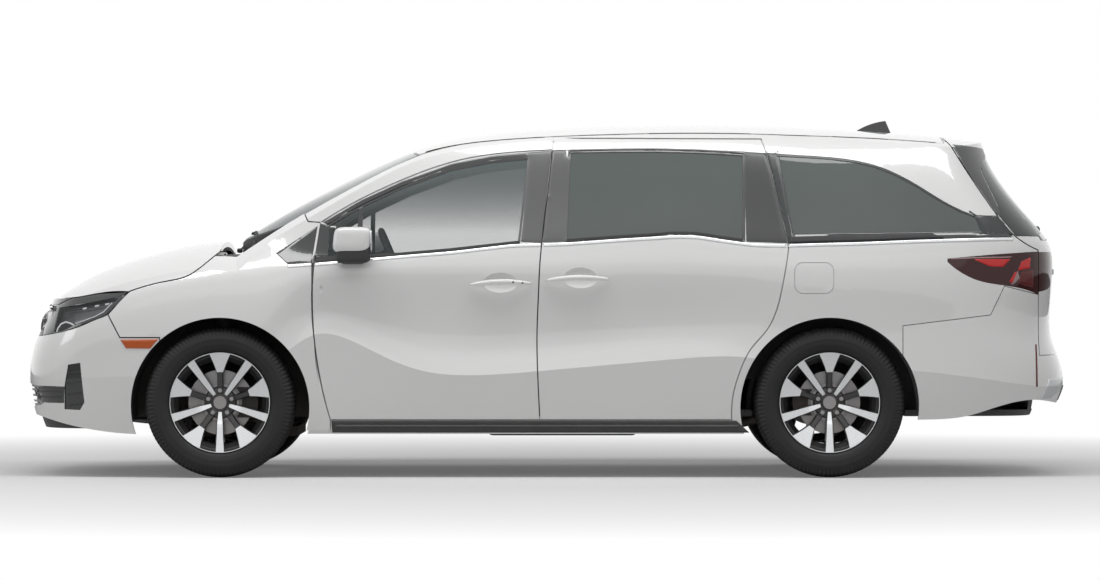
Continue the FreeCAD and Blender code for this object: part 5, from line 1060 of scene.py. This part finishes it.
    def wipers(self) -> None:
        """Two wiper arms and blades resting at the foot of the windshield."""
        foot = np.array([(-0.725, -1.285), (-0.560, -1.405), (-0.300, -1.500), (0.0, -1.545), (0.300, -1.500),
                         (0.560, -1.405), (0.725, -1.285)])
        probe = SkinProbe(("windshield", "cowl"), View.TOP)
        t = np.linspace(0, 1, 28)
        for number, (pivot, tip) in enumerate(((-0.500, 0.080), (0.060, 0.560))):
            y = pivot + (tip - pivot) * t
            x = np.interp(y, foot[:, 0], foot[:, 1]) + np.interp(t, [0, 0.25, 1], [-0.034, 0.020, 0.046])
            rest = probe.depth(x, y) + 0.009
            z = np.where(t < 0.25, np.interp(t, [0, 0.25], [rest[0] + 0.012, rest[t >= 0.25][0]]), rest)
            arm = swept_bar(np.stack([x, y, z], -1), 0.0065 - 0.002 * t, flat=0.7)
            inner = t > 0.30
            blade = swept_bar(np.stack([x[inner] + 0.013, y[inner], probe.depth(x[inner] + 0.013, y[inner]) + 0.005],
                                       -1), 0.0045, flat=1.1)
            knob = placed(cushion((0.030, 0.030, 0.024), 3, 14), (x[0], y[0], z[0]))
            declare(mesh_piece(f"wiper_{number}", [arm, blade, knob], SATIN_BLACK), "body")

    def build(self) -> None:
        """Makes the nose's pieces."""
        self.headlamps()
        self.screens()
        self.intake_corner()
        self.wipers()


@dataclass
class Tail:
    """Spoiler sides, dark glass border, stop lamp, lamp facets, rear wiper, plate and bumper trim."""

    gate: tuple[str, ...] = ("tailgate", "tailgate_glass")
    bumper: tuple[str, ...] = ("rear_bumper",)

    def spoiler(self) -> None:
        """Grey fin on each side of the tailgate's head, with dark border between it and the window."""
        fin = [(2.196, 1.634), (2.206, 1.600), (2.190, 1.566), (2.160, 1.530), (2.178, 1.4755), (2.232, 1.3415),
               (2.246, 1.300)]
        Overlay("spoiler_side", [(2.0035, 1.650), (2.1030, 1.4905), (2.2312, 1.2955)], fin, self.gate, FIN_GREY,
                body="tailgate", lift=0.0025, sink=0.012, steps=52, rows=16).build()
        Overlay("window_border", [(2.176, 1.566), (2.162, 1.530), (2.180, 1.4755), (2.234, 1.3415), (2.2345, 1.2940),
                                  (2.3200, 1.1900)], [(2.200, 1.566), (2.204, 1.530), (2.236, 1.480), (2.304, 1.388),
                                                      (2.386, 1.296), (2.462, 1.190)], self.gate, PRIVACY_TRIM,
                body="tailgate", lift=0.002, steps=52, rows=14).build()
        Overlay("window_sill_rear", [(-0.700, 1.170), (-0.350, 1.176), (0.0, 1.178), (0.350, 1.176), (0.700, 1.170)],
                [(-0.690, 1.200), (-0.350, 1.206), (0.0, 1.208), (0.350, 1.206), (0.690, 1.200)], self.gate,
                GLOSS_BLACK, body="tailgate", both_sides=False, view=View.REAR, steps=60).build()
        Overlay("high_stop_lamp", [(-0.160, 1.594), (0.160, 1.594)], [(-0.160, 1.606), (0.160, 1.606)], self.gate,
                RED_DARK, body="tailgate", slot="red_lamp", both_sides=False, view=View.REAR, steps=30, rows=3).build()

    def facets(self) -> None:
        """The light guide, bright triangle, large facet, diamond and dark panel of each tail lamp."""
        for name, low, high, finish in (
                ("lamp_guide", [(1.990, 1.075), (2.120, 1.079), (2.285, 1.082)],
                 [(1.996, 1.081), (2.120, 1.086), (2.300, 1.090)], LAMP_LINE),
                ("lamp_triangle", [(2.108, 1.073), (2.184, 1.0405), (2.250, 1.0375)],
                 [(2.110, 1.0762), (2.200, 1.0762), (2.290, 1.0762)], RED_FACET),
                ("lamp_facet", [(2.3274, 1.0197), (2.390, 1.0315)], [(2.3454, 1.0644), (2.393, 1.0852)], RED_FACET),
                ("lamp_diamond_red", [(2.2827, 0.9661), (2.2976, 0.956)], [(2.312, 1.0137), (2.322, 1.012)], RED_FACET),
                ("lamp_diamond", [(2.290, 0.953), (2.301, 0.949)], [(2.326, 1.018), (2.3364, 0.980)], LAMP_LINE),
                ("lamp_panel", [(2.328, 0.955), (2.408, 0.936)], [(2.345, 1.0137), (2.408, 1.025)], RED_DARK)):
            Overlay(name, low, high, ("tail_lamps",), finish, slot="red_lamp", lift=0.0012, edge=0.0015, steps=14,
                    rows=6).build()

    def wiper(self) -> None:
        """Rear wiper: round pivot cover, arm and blade lying along the foot of the window."""
        probe = SkinProbe(self.gate, View.REAR)
        t = np.linspace(0, 1, 26)
        y = 0.02 + 0.36 * t
        z = 1.226 + 0.028 * np.sin(math.pi * t / 2)
        x = probe.depth(y, z)
        arm = swept_bar(np.stack([x + 0.016 - 0.004 * t, y, z], -1), 0.009 - 0.004 * t, flat=0.7)
        blade = swept_bar(np.stack([x + 0.007, y - 0.06, z + 0.012], -1)[6:], 0.006, flat=0.8)
        cover = placed(cushion((0.044, 0.050, 0.050), 3, 16), (x[0] + 0.012, y[0], z[0]))
        declare(mesh_piece("rear_wiper", [arm, blade, cover], SATIN_BLACK), "tailgate")

    def back(self) -> None:
        """Blank plate in its dark recess, the grip strip above it, and the bumper's silver and black lower trim."""
        for name, low, high, finish, nodes, body, slot, lift in (
                ("plate_recess", [(-0.230, 0.800), (0.230, 0.800)], [(-0.250, 0.985), (0.250, 0.985)], SATIN_BLACK,
                 self.gate, "tailgate", "black_plastic", 0.0012),
                ("number_plate", [(-0.153, 0.815), (0.153, 0.815)], [(-0.153, 0.967), (0.153, 0.967)], PLATE, self.gate,
                 "tailgate", "steel", 0.005),
                ("grip_strip", [(-0.500, 1.000), (0.0, 1.006), (0.500, 1.000)],
                 [(-0.505, 1.030), (0.0, 1.038), (0.505, 1.030)], CHROME, self.gate, "tailgate", "steel", 0.006),
                ("bumper_step", [(-0.560, 0.610), (0.560, 0.610)], [(-0.560, 0.628), (0.560, 0.628)], SATIN_BLACK,
                 self.bumper, "body", "black_plastic", 0.003),
                ("bumper_diffuser", [(-0.480, 0.372), (0.0, 0.366), (0.480, 0.372)],
                 [(-0.560, 0.446), (0.0, 0.452), (0.560, 0.446)], SATIN_BLACK, self.bumper,
                 "body", "black_plastic", 0.003)):
            Overlay(name, low, high, nodes, finish, body=body, slot=slot, lift=lift, both_sides=False, view=View.REAR,
                    steps=60).build()
        Overlay("bumper_corner_trim", [(2.487, 0.482), (2.482, 0.4666), (2.468, 0.4255), (2.446, 0.386)],
                [(2.570, 0.488), (2.574, 0.4666), (2.560, 0.429), (2.500, 0.388)], self.bumper, SILVER, slot="steel",
                lift=0.004, steps=30, rows=12).build()

    def build(self) -> None:
        """Makes the tail's pieces."""
        self.spoiler()
        self.facets()
        self.wiper()
        self.back()


@dataclass
class DoorMirror:
    """A door mirror: painted cap over a black shell, its foot, and the glass that faces back."""

    side: Side
    station: float = -0.950
    out: float = 1.064

    def pad(self, size: tuple[float, float, float], place: tuple[float, float, float], roundness: float,
            lean: float = 0.0) -> Part:
        """A rounded block |x|^n + |y|^n + |z|^n = 1 at a place on this side, leaning back as it rises."""
        points, faces = cushion(size, roundness, 30)
        points[:, 0] += lean * points[:, 2]
        return points + (place[0], -self.side.value * place[1], place[2]), faces

    def build(self) -> None:
        """Makes the mirror's pieces, which stand for the CAD one."""
        word, x, out = self.side.word, self.station, self.out
        for name, parts, finish, slot in (
                ("mirror_cap", [self.pad((0.186, 0.128, 0.128), (x, out, 1.169), 4.5, 0.10)], PAINT, "paint"),
                ("mirror_shell", [self.pad((0.172, 0.116, 0.090), (x + 0.006, out - 0.002, 1.100), 5.0, 0.10),
                                  self.pad((0.128, 0.104, 0.060), (x - 0.002, 1.008, 1.081), 5.0)],
                 SATIN_BLACK, "black_plastic"),
                ("mirror_glass", [self.pad((0.006, 0.108, 0.104), (x + 0.093, out, 1.166), 5.0)], MIRROR, "glass")):
            obj = declare(mesh_piece(f"{name}_{word}", parts, finish), f"front_door_{word}")
            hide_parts(f"mirror_{word}")


@dataclass
class RoofTrim:
    """Dark strips along the two seams of the roof panel."""

    nodes: tuple[str, ...] = ("roof", "body_side_left", "body_side_right")

    def build(self) -> None:
        """Makes both strips."""
        line = [(-0.600, -0.641), (0.300, -0.668), (1.200, -0.664), (1.940, -0.631)]
        Overlay("roof_seam_strip", [(x, y - 0.006) for x, y in line], [(x, y + 0.006) for x, y in line], self.nodes,
                SEAL_RUBBER, lift=0.0025, edge=0.002, steps=90, rows=3, view=View.TOP).build()


def tilted(part: Part) -> Part:
    """A pad stood on its end with its top facing forward: x becomes z and z becomes -x."""
    points, faces = part
    return np.stack([-points[:, 2], points[:, 1], points[:, 0]], -1), faces[:, ::-1]


@dataclass
class Cabin:
    """Seats and fittings seen through the glass.

    Fields are the lean of a seat's back, and the rear wheel arch's station, height and radius.
    """

    pitch: float = math.radians(18)
    arch: tuple[float, float, float] = (1.394, 0.348, 0.404)

    def seat(self, name: str, node: str, x: float, y: float, width: float, floor: float = 0.330) -> None:
        """A seat: cushion, reclined back and headrest, each a crowned leather pad.

        Args:
            name: The seat's name.
            node: The CAD node it stands for.
            x: Station of the hip point.
            y: Its middle across the car.
            width: Its width.
            floor: Height of the floor under it.
        """
        base = placed(cushion((0.500, width, 0.130), 5, channels=4, bolster=0.02), (x - 0.25, y, floor + 0.300))
        s, c = math.sin(self.pitch), math.cos(self.pitch)

        def up_back(reach: float, across: float = 0.0) -> tuple[float, float, float]:
            """The place that far up the reclined back."""
            return x - 0.04 + 0.06 * c + reach * s, y + across, floor + 0.307 - 0.06 * s + reach * c

        back = placed(tilted(cushion((0.620, width, 0.115), 5, channels=5, bolster=0.02)), up_back(0.32), self.pitch)
        rest = placed(tilted(cushion((0.165, 0.255, 0.085), 3.2)), up_back(0.735), self.pitch)
        for word, part in (("cushion", base), ("back", back), ("headrest", rest)):
            pad = mesh_piece(f"{name}_{word}", [self.clear_of_arch(part)], LEATHER)
            declare(pad, "body")
            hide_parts(node)
        frame_part = [placed(cushion((0.42, width - 0.08, 0.235), 8), (x - 0.25, y, floor + 0.119))]
        for across in (-0.07, 0.07):
            start = np.array(up_back(0.60, across))
            end = start + np.array([s, 0, c]) * 0.12
            frame_part.append(swept_bar(np.linspace(start, end, 4), 0.006))
        seat_base = mesh_piece(f"{name}_base", [self.clear_of_arch(part) for part in frame_part], CABIN_PLASTIC)
        declare(seat_base, "body")
        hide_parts(node)

    def clear_of_arch(self, part: Part) -> Part:
        """The part with every point at least the arch's radius from the rear axle's line: r becomes max(r, radius)."""
        points, faces = part
        x, z, radius = self.arch
        away = points[:, [0, 2]] - (x, z)
        away[:, 1] = np.maximum(away[:, 1], 0.0) if (np.hypot(away[:, 0], away[:, 1]) < radius).any() else away[:, 1]
        reach = np.maximum(np.hypot(away[:, 0], away[:, 1]), 1e-6)
        away = away * (np.maximum(reach, radius) / reach)[:, None]
        return np.stack([x + away[:, 0], points[:, 1], z + away[:, 1]], -1), faces

    def steering(self) -> None:
        """Padded hub of the steering wheel, and the screen on the dashboard."""
        hub = placed(cushion((0.050, 0.170, 0.130), 3.5, 24), (-0.752, -0.420, 1.049), math.radians(-21.8))
        declare(mesh_piece("steering_hub_pad", [hub], CABIN_PLASTIC), "steering_wheel")
        screen = placed(cushion((0.014, 0.250, 0.135), 9, 24), (-0.935, 0.0, 1.125), math.radians(12))
        declare(mesh_piece("dash_screen", [screen], GLOSS_BLACK), "body")

    def build(self) -> None:
        """Makes the three rows and the fittings."""
        for side in Side:
            self.seat(f"front_seat_{side.word}", "front_seats", -0.170, -0.420 * side.value, 0.510)
            self.seat(f"middle_seat_{side.word}", "middle_seats", 0.880, -0.400 * side.value, 0.510)
            self.seat(f"rear_seat_{side.word}", "rear_bench", 1.840, -0.295 * side.value, 0.586)
        self.steering()
        LOG.info("seats")


@dataclass
class Dressing:
    """Finishes of the CAD nodes, by the start of their names; a longer start comes before a shorter one."""

    finishes: tuple[tuple[Finish, str], ...] = (
        (FRONT_GLASS, "front_door_glass windshield"),
        (PRIVACY_GLASS, "sliding_door_glass quarter_glass tailgate_glass"),
        (RED_LENS, "tailgate_lamps tail_lamps"),
        (CABIN_PLASTIC, "steering_wheel steering_column dashboard"),
        (PAINT, "body_side front_door_left front_door_right sliding_door_left sliding_door_right front_fenders"
                " front_bumper rear_bumper tailgate hood roof mirror"),
        (SATIN_BLACK, "front_carrier cowl"),
        (GLOSS_BLACK, "antenna grille"),
        (SEAL_RUBBER, "door_seals"),
        (LENS, "headlamps"),
        (UNDERBODY, "wheelhouse_liners fuel_tank"),
        (LEATHER, "rear_bench"),
        (CARPET, "floor_pan"),
        (STEEL, "exhaust"),
        (CAST_IRON, "front_struts front_subframe rear_axle engine knuckle"),
        (DISC_IRON, "hub"),
        (TYRE_RUBBER, "tyre"),
        (MACHINED, "rim front_seats middle_seats"))

    def build(self) -> None:
        """Gives every CAD node its finish."""
        for name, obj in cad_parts.items():
            next(finish for finish, starts in self.finishes if name.startswith(tuple(starts.split()))).on(obj)
        LOG.info("finished %d CAD nodes", len(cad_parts))


@dataclass(frozen=True)
class SoftLamp:
    """A soft rectangular lamp: its place, what it is aimed at, its size in metres and its power in watts."""

    name: str
    place: tuple[float, float, float]
    aim: tuple[float, float, float]
    size: tuple[float, float]
    power: float

    def build(self) -> None:
        """Makes the lamp."""
        data = bpy.data.lights.new(self.name, "AREA")
        data.shape = "RECTANGLE"
        data.size, data.size_y = self.size
        data.energy = self.power
        obj = bpy.data.objects.new(self.name, data)
        obj.location = self.place
        obj.rotation_euler = (Vector(self.aim) - Vector(self.place)).to_track_quat("-Z", "Y").to_euler()
        bpy.context.scene.collection.objects.link(obj)


@dataclass
class Studio:
    """Pale floor, soft lamps, world and the camera at the photograph's viewing angle.

    The floor shows its shadows up to fade[0] metres from the middle and is plain white from fade[1] on.
    """

    camera_place: tuple[float, float, float] = (0.018, -25.4, 0.924)
    lens: float = 162.7
    ambient: float = 0.22
    floor_half: float = 60.0
    fade: tuple[float, float] = (2.2, 7.0)
    lamps: tuple[SoftLamp, ...] = (
        SoftLamp("top_lamp", (0.0, -2.6, 6.3), (0.0, -0.6, 0.5), (9.0, 1.6), 295.0),
        SoftLamp("side_lamp", (0.0, -10.0, 4.5), (0.0, 0.0, 0.8), (12.0, 2.5), 50.0),
        SoftLamp("front_lamp", (-9.0, -3.5, 2.6), (-2.3, -0.6, 0.6), (2.5, 2.0), 60.0))

    def floor(self) -> None:
        """A wide pale floor that keeps the van's shadow and glows white, to the camera only, away from it."""
        t = np.linspace(-self.floor_half, self.floor_half, 3)
        x, y = np.meshgrid(t, t, indexing="ij")
        points = np.stack([x, y, np.zeros_like(x)], -1).reshape(-1, 3)
        white = Finish("studio_floor_white", (0.76, 0.76, 0.76), (0.76, 0.76, 0.76), roughness=0.9, specular=0.1)
        obj = mesh_piece("studio_floor", [(points, grid_faces(3, 3))], white)
        tree = white.material().node_tree
        middle = add_node(tree, "VectorMath", {0: add_node(tree, "TexCoord").outputs["Object"]}, operation="LENGTH")
        far = add_node(tree, "MapRange", {"Value": middle.outputs["Value"], "From Min": self.fade[0],
                                          "From Max": self.fade[1], "To Min": 0.12})
        seen = add_node(tree, "LightPath").outputs["Is Camera Ray"]
        share = add_node(tree, "Math", {0: far.outputs["Result"], 1: seen}, operation="MULTIPLY")
        mix = add_node(tree, "MixShader", {0: share.outputs[0], 1: tree.nodes["Principled BSDF"].outputs[0],
                                           2: add_node(tree, "Emission").outputs[0]})
        wire(tree, tree.nodes["Material Output"], {"Surface": mix.outputs[0]})

    def world(self) -> None:
        """A white world for camera, glossy and transmission rays, and a plain level of light for the rest."""
        world = bpy.data.worlds.new("studio_world")
        bpy.context.scene.world = world
        world.use_nodes = True
        tree = world.node_tree
        path = add_node(tree, "LightPath").outputs
        either = add_node(tree, "Math", {0: path["Is Glossy Ray"], 1: path["Is Transmission Ray"]}, operation="MAXIMUM")
        any_of = add_node(tree, "Math", {0: path["Is Camera Ray"], 1: either.outputs[0]}, operation="MAXIMUM")
        level = add_node(tree, "MapRange", {"Value": any_of.outputs[0], "To Min": self.ambient, "To Max": 1.0})
        wire(tree, tree.nodes["Background"], {"Color": (1.0, 1.0, 1.0, 1.0), "Strength": level.outputs["Result"]})

    def camera(self) -> None:
        """The camera, level and square to the left side."""
        data = bpy.data.cameras.new("view")
        data.sensor_width = 36.0
        data.lens = self.lens
        data.clip_end = 200.0
        obj = bpy.data.objects.new("view", data)
        obj.location = self.camera_place
        obj.rotation_euler = (math.radians(90), 0, 0)
        bpy.context.scene.collection.objects.link(obj)
        bpy.context.scene.camera = obj

    def build(self) -> None:
        """Sets the stage."""
        self.world()
        self.floor()
        for lamp in self.lamps:
            lamp.build()
        self.camera()
        bpy.context.scene.view_settings.view_transform = "Standard"


def main() -> None:
    """Builds the van's pieces in order."""
    logging.basicConfig(level=logging.INFO, format="%(name)s %(message)s")
    Dressing().build()
    for end in ("front", "rear"):
        for side in Side:
            Wheel(end, side).build()
    SideTrim().build()
    Nose().build()
    Tail().build()
    for side in Side:
        DoorMirror(side).build()
    RoofTrim().build()
    Cabin().build()
    Studio().build()


if __name__ == "__main__":
    main()
